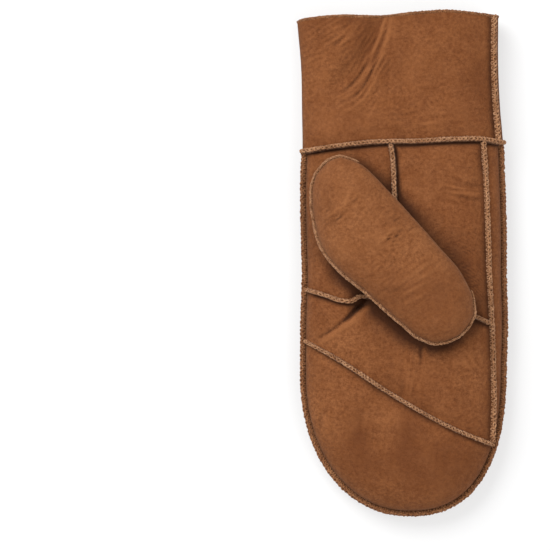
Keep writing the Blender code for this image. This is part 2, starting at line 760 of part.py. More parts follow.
def thumb_leaf(top, wall):
    """Points of the thumb's upper or lower leaf, on its outer face or a wall's thickness inside it."""
    seam_side, fold_side = thumb_outline(THUMB_ROWS, THUMB_LEATHER_INSET + wall)
    columns = shares_between(round(THUMB_WIDTH / CELL) + 2, True, True)
    plan = seam_side[:, None] + (fold_side - seam_side)[:, None] * columns[None, :, None]
    flat = plan.reshape(-1, 2)
    rim, depth = thumb_rim_height(flat), thumb_depth(flat)
    width, part = (THUMB_ROLL, 1 - THUMB_RIM_SHARE) if top else (THUMB_FLAT_ROLL, -THUMB_RIM_SHARE)
    share = edge_share(flat, [seam_side, fold_side], width)
    reach = part * depth - math.copysign(wall, part)
    return np.column_stack([flat, rim + reach * share]).reshape(*plan.shape[:2], 3)


def thumb():
    """The thumb's leather, a flat pouch: its outer faces, and its inner faces turned to look inward."""
    faces = [(thumb_leaf(True, 0.0), True), (thumb_leaf(False, 0.0), False)]
    faces += [(thumb_leaf(True, WALL), False), (thumb_leaf(False, WALL), True)]
    return leather("thumb", faces, solid=True)


def thumb_seam():
    seam_side, fold_side = thumb_outline(3 * THUMB_ROWS, 0.0)
    total = lengths_along(fold_side)[-1]
    head = stretch(fold_side, THUMB_SEAM_START * total, 0.0)
    tail = stretch(fold_side, total, THUMB_SEAM_END * total)
    line = np.vstack([head[:-1], seam_side, tail[1:]])
    path = np.column_stack([line, thumb_rim_height(line)])
    ridge("thumb_seam", even_steps(path, step=THUMB_SEAM_STEP))


def thumb_hole():
    """The cutter of the hole between hand and thumb, an oval column."""
    middle = thumb_plan(THUMB_HOLE_DOWN * THUMB_LENGTH, THUMB_HOLE_ACROSS * THUMB_WIDTH)
    bed = thumb_bed(middle[None])[0]
    low, high = EDGE_HEIGHT, bed + WALL + THUMB_THICKNESS * 0.25
    bm = bmesh.new()
    bmesh.ops.create_cone(bm, cap_ends=True, segments=20, radius1=0.5, radius2=0.5, depth=1.0)
    bmesh.ops.scale(bm, vec=(THUMB_HOLE_LENGTH, THUMB_HOLE_WIDTH, high - low), verts=bm.verts)
    mesh = bpy.data.meshes.new("thumb_hole")
    bm.to_mesh(mesh)
    bm.free()
    cutter = bpy.data.objects.new("thumb_hole", mesh)
    cutter.location = (*middle, (low + high) / 2)
    cutter.rotation_euler = (0, 0, THUMB_TURN)
    cutter.hide_render = True
    cutter.display_type = "WIRE"
    CUTTERS.objects.link(cutter)
    return cutter


def cut(obj, cutter):
    hole = obj.modifiers.new("hole", "BOOLEAN")
    hole.operation = "DIFFERENCE"
    hole.solver = "EXACT"
    hole.object = cutter


clear_scene()
PARTS = bpy.data.collections.new("mitten")
CUTTERS = bpy.data.collections.new("cutters")
for group in (PARTS, CUTTERS):
    bpy.context.scene.collection.children.link(group)
MITTEN = bpy.data.objects.new("mitten_frame", None)
PARTS.objects.link(MITTEN)

cuff()
cuff_seams()
heel_panel = hand_panels()
hand_seams()
thumb_piece = thumb()
thumb_seam()
hole_cutter = thumb_hole()
cut(heel_panel, hole_cutter)
cut(thumb_piece, hole_cutter)
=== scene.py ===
"""The looks of a shearling leather mitten for the right hand, lying on its back with the palm up.

X runs from the thumb side to the little finger's side, Y from the fingertips to the cuff and Z up. All
lengths are in metres. Every hide panel is drawn in plan between the seams that bound it, lifted onto the
rounded hand, thickened into a wall, and then given its creases and wrinkles. Every seam is a pair of upright
leather edges bound in thread, which is laid stitch by stitch.
"""

import math
from collections import namedtuple

import bmesh
import bpy
import numpy as np
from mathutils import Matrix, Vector, noise


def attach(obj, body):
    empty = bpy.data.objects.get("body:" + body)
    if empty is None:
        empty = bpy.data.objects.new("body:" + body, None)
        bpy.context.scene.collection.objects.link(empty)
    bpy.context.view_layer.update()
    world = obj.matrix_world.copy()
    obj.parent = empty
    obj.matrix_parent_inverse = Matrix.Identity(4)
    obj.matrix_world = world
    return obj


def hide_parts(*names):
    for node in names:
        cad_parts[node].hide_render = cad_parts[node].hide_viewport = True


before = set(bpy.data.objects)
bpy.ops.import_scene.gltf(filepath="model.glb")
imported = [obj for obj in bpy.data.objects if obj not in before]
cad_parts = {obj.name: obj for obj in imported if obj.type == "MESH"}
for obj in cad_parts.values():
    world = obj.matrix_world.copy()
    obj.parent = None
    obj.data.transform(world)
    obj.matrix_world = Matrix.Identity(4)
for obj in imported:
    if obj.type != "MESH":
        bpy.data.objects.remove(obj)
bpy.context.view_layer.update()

# Sizes of the hand and the cuff, the same as the solids have
HAND_LENGTH = 0.2052  # from the cuff's seam to the seam round the fingertips
CUFF_LENGTH = 0.0715
HAND_HALF = 0.0560  # half the width across the edge seams
TIP_LENGTH = 0.0777  # the stretch over which the hand rounds off to its tip
TIP_LEAN = 0.0047  # the tip lies this far toward the little finger's side
TIP_ROUND = 2.25  # 2 is an ellipse, more is blunter
EDGE_HEIGHT = 0.0130  # of the edge seam over the table
CROWN = 0.0180  # the palm's middle over the edge seam
PALM_ROLL = 0.0320  # the palm rounds down to its edge over this width
BACK_ROLL = 0.0220  # the back rounds up from the table over this width
WALL = 0.0030  # thickness of the hide
SEAM_RADIUS = 0.0016
SEAM_SINK = 0.0017  # the hide is drawn in this deep along a seam
SINK_REACH = 0.0090  # and comes back to its full height this far from it
END_GAP = 0.0016  # a seam ends this far from the middle line of the seam that it meets
CUFF_SEAM_INSET = 0.0031  # the cuff's side seam, in from its little finger's side in plan
HEM_RADIUS = 0.0013
OVERRUN = 0.012  # a drawn line runs on this far, to be sure of crossing its neighbours
LENGTH_SHIFT = 0.0005  # puts the mitten's middle over the origin

# Where the hide turns down beside a seam
PANEL_GAP = 0.0012  # from a seam's middle line to the hide beside it
RIM_GAP = 0.0014  # and from the edge seam's line
GROOVE_DEPTH = 0.0016
GROOVE_WIDTH = 0.0017
SHADE_REACH = 0.0024  # how far the painted shade beside a seam reaches
RIM_SHADE_REACH = 0.0011
RIM_SHADE = 0.8  # how dark the painted shade is beside the edge seam
THUMB_RIM_SHADE = 0.5  # and beside the thumb's seam
SEAM_SHADE = 0.24  # how much this painted shade counts against a hollow's
DEEP = 0.0022  # a hollow this deep has the full painted shade

# Sizes of the thumb
THUMB_LENGTH = 0.1192
THUMB_WIDTH = 0.0400
THUMB_THICKNESS = 0.0170
THUMB_TURN = math.radians(-54.5)  # the thumb's direction in plan, from the root to the tip
THUMB_RIM_SHARE = 0.45  # height of the thumb's edge within its thickness
THUMB_ROLL = 0.0170  # the thumb rounds off to its edge over this width
THUMB_FLAT_ROLL = 0.0100  # and less where it lies on the palm
THUMB_CLEARANCE = 0.0009  # between the thumb and the palm under it
THUMB_SEAM_INSET = 0.0005  # the thumb's hide lies this far inside its seam's line

# Mesh sizes
CELL = 0.00090  # the usual size of a face
SEAM_CELL = 0.00035  # beside a seam
ROLL_CELL = 0.00006  # where the hide rolls over to its edge
CELL_GROWTH = 0.22
CORE_STEP = 0.0009

# Thread
STITCH = 0.0023  # one link of the chain along a seam
THREAD_RADIUS = 0.00042
LOOP_RADIUS = 0.00035
THREAD_SIDE = 0.00118  # half width of the path that the thread takes over the leather edges
THREAD_TOP = 0.00150  # and its height
CHAIN_SPREAD = math.radians(44)  # the chain swings this far to each side of a seam's top
LOOP_INNER = math.radians(30)  # the loops over the edge run between these two turns from the top
LOOP_OUTER = math.radians(118)
OVER = 0.00022  # how far a thread stands off where it passes over another
TAPER_END = 0.30  # a tapered seam's end has this share of its size
EDGE_TILT = math.radians(38)  # the edge seam stands out sideways and this far up

# The leather's edge at the cuff's mouth
MOUTH_TRIM = 0.0011  # it lies this far inside the mouth's line
CORNER_TRIM = 0.0013  # and this much more, little by little, toward the thumb side's corner
CORNER_DRAW = 0.0012  # and this much more at the corner itself
CORNER_WIDTH = 0.0025

# What rests on the floor is flattened at this height
FLOOR_GAP = 0.00002

TIP_Y = SEAM_RADIUS - (HAND_LENGTH + CUFF_LENGTH) / 2 - LENGTH_SHIFT
JOIN_Y = TIP_Y + HAND_LENGTH
MOUTH_Y = JOIN_Y + CUFF_LENGTH

# The edge seam's line above the tip's round: down is a share of HAND_LENGTH from the cuff's seam,
# the sides are shares of HAND_HALF.
Side = namedtuple("Side", "down thumb_side outer_side")
HAND_SIDES = [
    Side(-0.08, 0.955, 0.965),
    Side(0.00, 0.955, 0.965),
    Side(0.12, 0.970, 0.980),
    Side(0.24, 0.966, 0.993),
    Side(0.36, 0.955, 0.993),
    Side(0.50, 0.970, 1.005),
    Side(0.60, 0.972, 0.995),
    Side(1.00, 0.970, 0.990),
]
# The cuff's folded sides: up is a share of CUFF_LENGTH.
CuffSide = namedtuple("CuffSide", "up thumb_side outer_side")
CUFF_SIDES = [
    CuffSide(-0.20, 0.980, 0.990),
    CuffSide(0.00, 0.980, 0.988),
    CuffSide(0.20, 0.985, 0.965),
    CuffSide(0.55, 0.993, 0.943),
    CuffSide(0.95, 1.035, 0.943),
    CuffSide(1.20, 1.045, 0.943),
]
# Height of the palm side along the mitten: along runs from the mouth, 0, to the tip, 1.
Rise = namedtuple("Rise", "along crown")
RISES = [
    Rise(-0.10, 0.80),
    Rise(0.00, 0.80),
    Rise(0.14, 0.76),
    Rise(0.26, 0.84),
    Rise(0.42, 1.00),
    Rise(0.62, 1.00),
    Rise(0.82, 0.93),
    Rise(1.00, 0.84),
]
# The seam between cuff and hand: across is a share of HAND_HALF, the rises are shares of CUFF_LENGTH.
Join = namedtuple("Join", "across palm back")
JOINS = [
    Join(-1.20, -0.105, -0.105),
    Join(-0.98, -0.085, -0.085),
    Join(-0.66, -0.050, -0.015),
    Join(-0.30, -0.020, 0.035),
    Join(0.15, -0.013, 0.052),
    Join(0.50, 0.002, 0.045),
    Join(0.78, 0.004, 0.020),
    Join(0.98, -0.018, -0.018),
    Join(1.20, -0.030, -0.030),
]
# The cuff's mouth, with the same columns read as one rise each.
MOUTHS = [
    Join(-1.20, -0.050, -0.050),
    Join(-0.98, -0.045, -0.045),
    Join(-0.66, -0.034, -0.020),
    Join(-0.15, -0.040, -0.030),
    Join(0.20, -0.012, -0.020),
    Join(0.50, 0.000, -0.015),
    Join(0.80, -0.020, -0.025),
    Join(0.95, -0.030, -0.030),
    Join(1.20, -0.040, -0.040),
]
# Points on a hand seam: across is a share of HAND_HALF, down a share of HAND_LENGTH.
At = namedtuple("At", "across down")
THUMB_ROOT = At(-0.7214, 0.0548)  # the thumb's upper end
PALM_CENTRE = [At(-0.130, 0.000), At(-0.103, 0.050), At(-0.089, 0.130), At(-0.074, 0.300), At(-0.050, 0.440)]
PALM_CROSS = [
    At(-0.957, 0.399),
    At(-0.758, 0.416),
    At(-0.591, 0.430),
    At(-0.503, 0.430),
    At(-0.440, 0.419),
    At(-0.350, 0.419),
    At(0.100, 0.450),
    At(0.698, 0.471),
    At(0.870, 0.494),
]
PALM_DIAGONAL = [At(-0.957, 0.538), At(-0.670, 0.581), At(-0.093, 0.683), At(0.482, 0.770), At(0.925, 0.820)]
PALM_STRIP = [
    At(0.786, 0.000),
    At(0.814, 0.130),
    At(0.843, 0.366),
    At(0.880, 0.585),
    At(0.888, 0.700),
    At(0.878, 0.800),
]
BACK_CENTRE = [
    At(-0.004, -0.010),
    At(-0.050, 0.150),
    At(-0.087, 0.460),
    At(-0.062, 0.640),
    At(-0.030, 0.880),
    At(0.010, 0.995),
]
BACK_CROSS = [
    At(-0.960, 0.465),
    At(-0.660, 0.495),
    At(-0.310, 0.524),
    At(-0.090, 0.527),
    At(0.330, 0.499),
    At(0.790, 0.466),
    At(0.980, 0.463),
]
# The leather's edge round the thumb: along is a share of THUMB_LENGTH from the root, the offsets to the
# seam side and to the folded side are shares of THUMB_WIDTH.
ThumbSection = namedtuple("ThumbSection", "along seam_side fold_side")
THUMB_SECTIONS = [
    ThumbSection(0.000, -0.030, -0.030),
    ThumbSection(0.012, -0.200, 0.100),
    ThumbSection(0.040, -0.350, 0.200),
    ThumbSection(0.100, -0.510, 0.315),
    ThumbSection(0.180, -0.645, 0.375),
    ThumbSection(0.265, -0.755, 0.410),
    ThumbSection(0.350, -0.795, 0.445),
    ThumbSection(0.420, -0.780, 0.468),
    ThumbSection(0.600, -0.645, 0.525),
    ThumbSection(0.800, -0.505, 0.560),
    ThumbSection(0.920, -0.385, 0.455),
    ThumbSection(0.975, -0.225, 0.300),
    ThumbSection(0.993, -0.080, 0.160),
    ThumbSection(1.000, 0.040, 0.040),
]
# Thickness of the thumb along it, as shares of THUMB_THICKNESS.
ThumbDepth = namedtuple("ThumbDepth", "along depth")
THUMB_DEPTHS = [ThumbDepth(0.0, 0.78), ThumbDepth(0.3, 0.92), ThumbDepth(0.6, 1.0), ThumbDepth(1.0, 0.96)]
# Where the thumb's seam starts and ends on the folded side, as shares of that side's length. It tapers off
# over a length in metres.
THUMB_SEAM_START = 0.13
THUMB_SEAM_END = 0.80
THUMB_SEAM_TAPER = 0.012

# Soft dents bend the whole wall. A row's path is a few points on the hand, as above; above the cuff's seam
# down is negative. Half width and depth are in metres.
Dent = namedtuple("Dent", "path half_width depth")
PALM_DENTS = [
    Dent([At(-0.20, -0.320), At(-0.33, -0.240), At(-0.44, -0.190), At(-0.61, -0.145)], 0.0062, 0.0036),
    Dent([At(-0.05, 0.590), At(-0.04, 0.690)], 0.0085, 0.0013),
    Dent([At(0.45, 0.160), At(0.70, 0.195)], 0.0070, 0.0010),
    Dent([At(-0.36, 0.415), At(-0.42, 0.448)], 0.0042, 0.0060),
    Dent([At(-0.50, 0.452), At(-0.72, 0.495)], 0.0048, 0.0016),
    Dent([At(-0.86, 0.08), At(-0.88, 0.24)], 0.0080, 0.0012),
    Dent([At(-0.80, 0.036), At(-0.50, 0.030), At(-0.27, 0.024)], 0.0040, 0.0014),
    Dent([At(-0.434, 0.755), At(-0.420, 0.800)], 0.0050, 0.0014),
]
BACK_DENTS = [
    Dent([At(-0.03, 0.690), At(0.58, 0.600)], 0.0070, 0.0014),
    Dent([At(0.82, 0.520), At(0.60, 0.720)], 0.0080, 0.0014),
]
# Sharp creases mark the outer face alone. The lip is how high the hide stands up beside the crease, on the
# side to the left of its path. A thin crease has the half width of THIN.
Crease = namedtuple("Crease", "path half_width depth lip")
THIN = 0.0008
PALM_CREASES = [
    Crease([At(-0.33, 0.424), At(-0.44, 0.450), At(-0.56, 0.483)], 0.0013, 0.0022, 0.0010),
    Crease([At(-0.50, 0.466), At(-0.70, 0.509), At(-0.86, 0.536)], 0.0010, 0.0011, 0.0008),
    Crease([At(-0.19, -0.33), At(-0.24, -0.29), At(-0.29, -0.255), At(-0.36, -0.215)], THIN, 0.0006, 0.0006),
    Crease([At(-0.15, -0.315), At(-0.2, -0.265), At(-0.25, -0.235), At(-0.33, -0.195)], THIN, 0.0008, 0.0006),
    Crease([At(-0.2, -0.245), At(-0.27, -0.205), At(-0.33, -0.165), At(-0.41, -0.129)], THIN, 0.0008, 0.0006),
    Crease([At(-0.34, -0.208), At(-0.4, -0.182), At(-0.5, -0.147), At(-0.6, -0.124)], 0.0009, 0.0008, 0.0005),
    Crease([At(-0.25, -0.185), At(-0.31, -0.152), At(-0.42, -0.11), At(-0.52, -0.086)], THIN, 0.0006, 0.0005),
    Crease([At(-0.33, -0.165), At(-0.39, -0.14), At(-0.48, -0.112), At(-0.58, -0.096)], THIN, 0.0005, 0.0004),
    Crease([At(-0.46, -0.330), At(-0.60, -0.290), At(-0.72, -0.262)], 0.0009, 0.0004, 0.0003),
    Crease([At(-0.50, -0.300), At(-0.62, -0.262), At(-0.70, -0.236)], 0.0009, 0.0004, 0.0003),
    Crease([At(0.50, 0.105), At(0.62, 0.120), At(0.77, 0.118)], 0.0012, 0.0004, 0.0003),
    Crease([At(0.56, 0.150), At(0.68, 0.160), At(0.79, 0.150)], 0.0011, 0.0004, 0.0003),
    Crease([At(0.90, 0.310), At(0.96, 0.318)], 0.0010, 0.0004, 0.0002),
    Crease([At(0.175, 0.540), At(0.168, 0.570), At(0.172, 0.600)], 0.0010, 0.0006, 0.0004),
    Crease([At(0.45, 0.610), At(0.62, 0.615), At(0.80, 0.612)], 0.0010, 0.0004, 0.0003),
    Crease([At(-0.78, 0.720), At(-0.84, 0.780)], 0.0016, 0.0004, 0.0003),
    Crease([At(-0.02, 0.600), At(-0.01, 0.650), At(-0.03, 0.690)], 0.0016, 0.0003, 0.0002),
]
BACK_CREASES = [
    Crease([At(0.02, 0.700), At(0.30, 0.660), At(0.55, 0.605)], 0.0014, 0.0007, 0.0005),
    Crease([At(0.80, 0.530), At(0.70, 0.620), At(0.62, 0.700)], 0.0013, 0.0006, 0.0004),
]
# Patches of fine wrinkles: they run along a direction in plan, in degrees from X, a spacing apart, and fade
# out over a reach from the middle.
Wrinkles = namedtuple("Wrinkles", "middle reach direction spacing depth")
PALM_WRINKLES = [
    Wrinkles(At(-0.76, 0.475), (0.011, 0.009), 8, 0.0021, 0.00022),
    Wrinkles(At(0.60, 0.125), (0.014, 0.010), -6, 0.0034, 0.00022),
    Wrinkles(At(-0.70, -0.275), (0.014, 0.013), 32, 0.0030, 0.00034),
    Wrinkles(At(-0.88, -0.205), (0.011, 0.013), 18, 0.0026, 0.00026),
    Wrinkles(At(-0.30, -0.200), (0.011, 0.022), 58, 0.0026, 0.00036),
    Wrinkles(At(-0.50, -0.110), (0.016, 0.008), 35, 0.0028, 0.00022),
    Wrinkles(At(0.20, -0.050), (0.030, 0.008), 4, 0.0036, 0.00018),
    Wrinkles(At(0.20, 0.640), (0.030, 0.020), 150, 0.0060, 0.00014),
    Wrinkles(At(0.94, 0.300), (0.006, 0.020), 5, 0.0026, 0.00016),
    Wrinkles(At(0.60, 0.300), (0.012, 0.010), 14, 0.0021, 0.00026),
    Wrinkles(At(0.70, 0.380), (0.008, 0.010), 8, 0.0021, 0.00026),
    Wrinkles(At(-0.35, 0.800), (0.010, 0.014), 82, 0.0040, 0.00020),
    Wrinkles(At(0.05, 0.600), (0.008, 0.016), 80, 0.0034, 0.00022),
    Wrinkles(At(0.60, 0.600), (0.014, 0.006), 3, 0.0024, 0.00020),
]
BACK_WRINKLES = [
    Wrinkles(At(0.10, -0.200), (0.040, 0.014), 4, 0.0040, 0.00024),
    Wrinkles(At(0.40, 0.640), (0.022, 0.012), 20, 0.0034, 0.00022),
    Wrinkles(At(-0.50, 0.300), (0.020, 0.030), 85, 0.0050, 0.00014),
]
# The same on the thumb: its points are shares of THUMB_LENGTH along and THUMB_WIDTH toward the folded side.
OnThumb = namedtuple("OnThumb", "along across")
THUMB_CREASES = [
    Crease([OnThumb(0.214, -0.587), OnThumb(0.222, -0.400), OnThumb(0.224, -0.200)], THIN, 0.0006, 0.0005),
    Crease([OnThumb(0.224, -0.168), OnThumb(0.221, -0.080), OnThumb(0.217, 0.030)], THIN, 0.0007, 0.0005),
    Crease([OnThumb(0.236, -0.560), OnThumb(0.242, -0.400), OnThumb(0.236, -0.260)], THIN, 0.0005, 0.0004),
    Crease([OnThumb(0.222, -0.198), OnThumb(0.203, -0.089), OnThumb(0.192, -0.010)], THIN, 0.0005, 0.0004),
    Crease([OnThumb(0.438, 0.018), OnThumb(0.446, 0.170), OnThumb(0.467, 0.290)], THIN, 0.0006, 0.0004),
    Crease([OnThumb(0.454, -0.083), OnThumb(0.457, 0.096), OnThumb(0.470, 0.180)], THIN, 0.0005, 0.0004),
    Crease([OnThumb(0.60, -0.50), OnThumb(0.66, -0.30), OnThumb(0.68, -0.05)], 0.0016, 0.0003, 0.0002),
]
THUMB_WRINKLES = [
    Wrinkles(OnThumb(0.233, -0.400), (0.012, 0.009), 28, 0.0022, 0.00022),
    Wrinkles(OnThumb(0.450, 0.150), (0.013, 0.010), 22, 0.0021, 0.00034),
    Wrinkles(OnThumb(0.300, 0.250), (0.009, 0.007), 15, 0.0021, 0.00024),
    Wrinkles(OnThumb(0.560, -0.200), (0.012, 0.012), 40, 0.0024, 0.00020),
    Wrinkles(OnThumb(0.330, 0.000), (0.012, 0.014), 50, 0.0030, 0.00016),
    Wrinkles(OnThumb(0.700, 0.000), (0.026, 0.018), 35, 0.0036, 0.00016),
]
# The painted shadow on the palm beside the thumb: along runs from the thumb's root, 0, to its tip, 1, the
# seam side and the folded side give its strength on each side, and the reach is in metres.
ThumbShade = namedtuple("ThumbShade", "along seam_side fold_side reach")
THUMB_SHADES = [
    ThumbShade(0.00, 0.20, 0.60, 0.0020),
    ThumbShade(0.20, 0.30, 2.20, 0.0040),
    ThumbShade(0.35, 1.00, 2.60, 0.0058),
    ThumbShade(0.50, 3.20, 2.00, 0.0074),
    ThumbShade(0.70, 3.80, 1.60, 0.0080),
    ThumbShade(0.85, 3.60, 1.50, 0.0064),
    ThumbShade(1.00, 3.00, 2.60, 0.0052),
]
# Patches of paler and darker nap: the change runs from -1, dark, to 1, pale. Some dark ones are painted
# shade.
Patch = namedtuple("Patch", "middle reach change")
PALM_PATCHES = [
    Patch(At(-0.60, 0.550), (0.018, 0.014), 1.00),
    Patch(At(-0.70, 0.700), (0.014, 0.016), 0.55),
    Patch(At(-0.22, 0.770), (0.010, 0.018), 0.40),
    Patch(At(-0.05, 0.520), (0.010, 0.012), -0.35),
    Patch(At(0.20, 0.560), (0.016, 0.008), 0.45),
    Patch(At(-0.866, 0.740), (0.006, 0.012), 0.80),
    # painted shade in the dent at the fingertip
    Patch(At(-0.434, 0.790), (0.006, 0.013), -0.90),
    Patch(At(0.02, 0.800), (0.006, 0.016), -0.60),
    Patch(At(-0.30, 0.860), (0.016, 0.010), -0.40),
    Patch(At(0.42, 0.860), (0.018, 0.018), -0.40),
    Patch(At(0.34, 0.760), (0.008, 0.008), 0.40),
    Patch(At(-0.35, 0.940), (0.012, 0.007), 0.35),
    Patch(At(0.67, 0.640), (0.012, 0.012), 0.60),
    Patch(At(0.744, -0.160), (0.006, 0.020), -0.25),
    # painted shadow beside the thumb's folded side
    Patch(At(0.62, 0.340), (0.010, 0.018), -0.35),
    # painted shade in the cuff's deep dent
    Patch(At(-0.36, -0.245), (0.008, 0.012), -0.70),
    Patch(At(0.92, 0.30), (0.004, 0.080), 0.45),
    Patch(At(-0.75, -0.190), (0.016, 0.012), 0.35),
    Patch(At(-0.70, -0.330), (0.020, 0.005), -0.60),
    Patch(At(0.30, 0.090), (0.014, 0.014), 0.30),
    # painted shade in the dent below the cross seam
    Patch(At(-0.66, 0.485), (0.014, 0.010), -0.30),
]
THUMB_PATCHES = [
    Patch(OnThumb(0.80, 0.10), (0.020, 0.018), -0.40),
    Patch(OnThumb(0.30, -0.25), (0.016, 0.014), 0.35),
    Patch(OnThumb(0.55, 0.10), (0.012, 0.012), 0.30),
    Patch(OnThumb(0.40, 0.10), (0.010, 0.012), -0.25),
    Patch(OnThumb(0.64, -0.35), (0.008, 0.014), -0.30),
]
BACK_PATCHES = [
    Patch(At(0.30, 0.200), (0.020, 0.018), 0.40),
    Patch(At(-0.45, 0.700), (0.016, 0.024), -0.40),
    Patch(At(0.20, -0.180), (0.030, 0.012), 0.35),
]


def column(rows, name):
    return np.array([getattr(row, name) for row in rows])


def read_table(rows, key, value, at):
    """A smooth curve through the rows of a table, read at the given keys."""
    keys, values = column(rows, key), column(rows, value)
    slopes = np.gradient(values, keys)
    at = np.clip(at, keys[0], keys[-1])
    i = np.clip(np.searchsorted(keys, at, side="right") - 1, 0, len(keys) - 2)
    span = keys[i + 1] - keys[i]
    t = (at - keys[i]) / span
    start = values[i] * (1 + 2 * t) * (1 - t) ** 2 + slopes[i] * span * t * (1 - t) ** 2
    end = values[i + 1] * t**2 * (3 - 2 * t) - slopes[i + 1] * span * t**2 * (1 - t)
    return start + end


# Lines in plan


def lengths_along(line):
    steps = np.linalg.norm(np.diff(line, axis=0), axis=1)
    return np.concatenate([[0.0], np.cumsum(steps)])


def points_at(line, places):
    along = lengths_along(line)
    return np.stack([np.interp(places, along, line[:, k]) for k in range(line.shape[1])], axis=1)


def stretch(line, first, last):
    """The part of a line between two lengths along it, turned round if they run backward."""
    along = lengths_along(line)
    low, high = min(first, last), max(first, last)
    inner = line[(along > low + 1e-6) & (along < high - 1e-6)]
    part = np.vstack([points_at(line, [low]), inner, points_at(line, [high])])
    return part if first <= last else part[::-1]


def smooth_line(points, steps=12):
    """A smooth line through a few points."""
    points = np.array(points, float)
    places = lengths_along(points)
    slopes = np.gradient(points, places, axis=0)
    out = []
    for i in range(len(points) - 1):
        span = places[i + 1] - places[i]
        for t in np.arange(steps) / steps:
            out.append(
                points[i] * (1 + 2 * t) * (1 - t) ** 2
                + points[i + 1] * t**2 * (3 - 2 * t)
                + slopes[i] * span * t * (1 - t) ** 2
                - slopes[i + 1] * span * t**2 * (1 - t)
            )
    out.append(points[-1])
    return np.array(out)


def curve_through(points):
    """A smooth line through a few points, run on straight past both ends."""
    line = smooth_line(points)
    head = line[0] - (line[1] - line[0]) / np.linalg.norm(line[1] - line[0]) * OVERRUN
    tail = line[-1] + (line[-1] - line[-2]) / np.linalg.norm(line[-1] - line[-2]) * OVERRUN
    return np.vstack([head, line, tail])


def meet(line, other, last=False):
    """Where two lines cross, as a length along each: the first crossing along the first line, or the last."""
    a, b = line[:-1, None], line[1:, None]
    c, d = other[None, :-1], other[None, 1:]
    r, s = b - a, d - c
    cross = r[..., 0] * s[..., 1] - r[..., 1] * s[..., 0]
    cross = np.where(abs(cross) < 1e-15, 1e-15, cross)
    t = ((c - a)[..., 0] * s[..., 1] - (c - a)[..., 1] * s[..., 0]) / cross
    u = ((c - a)[..., 0] * r[..., 1] - (c - a)[..., 1] * r[..., 0]) / cross
    hits = np.argwhere((t >= 0) & (t <= 1) & (u >= 0) & (u <= 1))
    i, j = hits[-1 if last else 0]
    along, beside_it = lengths_along(line), lengths_along(other)
    return (
        along[i] + t[i, j] * (along[i + 1] - along[i]),
        beside_it[j] + u[i, j] * (beside_it[j + 1] - beside_it[j]),
    )


def across_line(points, line):
    """How far each point lies to the left of a line in plan, and its share of the way along the line."""
    a, b = line[None, :-1], line[None, 1:]
    p = points[:, None, :2]
    ab = b - a
    t = np.clip(((p - a) * ab).sum(2) / np.maximum((ab * ab).sum(2), 1e-15), 0, 1)
    off = p - a - t[..., None] * ab
    far = np.linalg.norm(off, axis=2)
    nearest = far.argmin(axis=1)
    rows = np.arange(len(points))
    steps = ab[0, nearest]
    left = np.sign(steps[:, 0] * off[rows, nearest, 1] - steps[:, 1] * off[rows, nearest, 0])
    along = lengths_along(line)
    share = (along[nearest] + t[rows, nearest] * (along[nearest + 1] - along[nearest])) / along[-1]
    return left * far[rows, nearest], share


def distance_to(points, line):
    return abs(across_line(points, line)[0])


def hand_point(at):
    return (at.across * HAND_HALF, JOIN_Y - at.down * HAND_LENGTH)


def hand_rim():
    """The edge seam's line: down the thumb side, round the tip and up the little finger's side."""
    straight = HAND_LENGTH - TIP_LENGTH
    downs = np.linspace(-OVERRUN, straight, 40)
    level = np.ones(len(downs))
    turns = np.linspace(0, math.pi / 2, 60)[1:]
    rounds = np.sin(turns)
    narrow = (1 - rounds**TIP_ROUND) ** (1 / TIP_ROUND)
    down = np.concatenate([downs, straight + rounds * TIP_LENGTH])
    taper = np.concatenate([level, narrow])
    lean = np.concatenate([0 * level, rounds**2 * TIP_LEAN])
    share = down / HAND_LENGTH
    y = JOIN_Y - down
    thumb_x = -read_table(HAND_SIDES, "down", "thumb_side", share) * HAND_HALF * taper + lean
    outer_x = read_table(HAND_SIDES, "down", "outer_side", share) * HAND_HALF * taper + lean
    thumb_line = np.stack([thumb_x, y], axis=1)
    outer_line = np.stack([outer_x, y], axis=1)
    return np.vstack([thumb_line, outer_line[-2::-1]])


def cuff_side(name, sign):
    """The line of one of the cuff's folded sides."""
    ups = np.linspace(-0.2, 1.2, 15)
    x = sign * read_table(CUFF_SIDES, "up", name, ups) * HAND_HALF
    return np.stack([x, JOIN_Y + ups * CUFF_LENGTH], axis=1)


def level_line(rows, name, base_y):
    """A line across the mitten, from a table's rises over a level."""
    across = np.linspace(-1.15, 1.15, 47)
    y = base_y + read_table(rows, "across", name, across) * CUFF_LENGTH
    return np.stack([across * HAND_HALF, y], axis=1)


def sideways(line):
    """The direction to the left of a line in plan, at each of its points."""
    along = np.gradient(line[:, :2], axis=0)
    along /= np.linalg.norm(along, axis=1)[:, None]
    return np.stack([-along[:, 1], along[:, 0]], axis=1)


def inside(line, start, end):
    """The stretch of a line between its crossings with two others."""
    return stretch(line, meet(line, start)[0], meet(line, end, last=True)[0])


RIM = hand_rim()
RIM_INSIDE = RIM + sideways(RIM) * RIM_GAP
CUFF_THUMB_SIDE = cuff_side("thumb_side", -1)
CUFF_OUTER_SIDE = cuff_side("outer_side", 1)
JOIN_PALM = level_line(JOINS, "palm", JOIN_Y)
JOIN_BACK = level_line(JOINS, "back", JOIN_Y)
MOUTH_PALM = level_line(MOUTHS, "palm", MOUTH_Y)
MOUTH_BACK = level_line(MOUTHS, "back", MOUTH_Y)
CENTRE_PALM, CROSS_PALM, DIAGONAL, STRIP, CENTRE_BACK, CROSS_BACK = (
    curve_through([hand_point(at) for at in table])
    for table in (PALM_CENTRE, PALM_CROSS, PALM_DIAGONAL, PALM_STRIP, BACK_CENTRE, BACK_CROSS)
)
HAND_EDGES = [RIM_INSIDE]
CUFF_EDGES = [CUFF_THUMB_SIDE, CUFF_OUTER_SIDE]
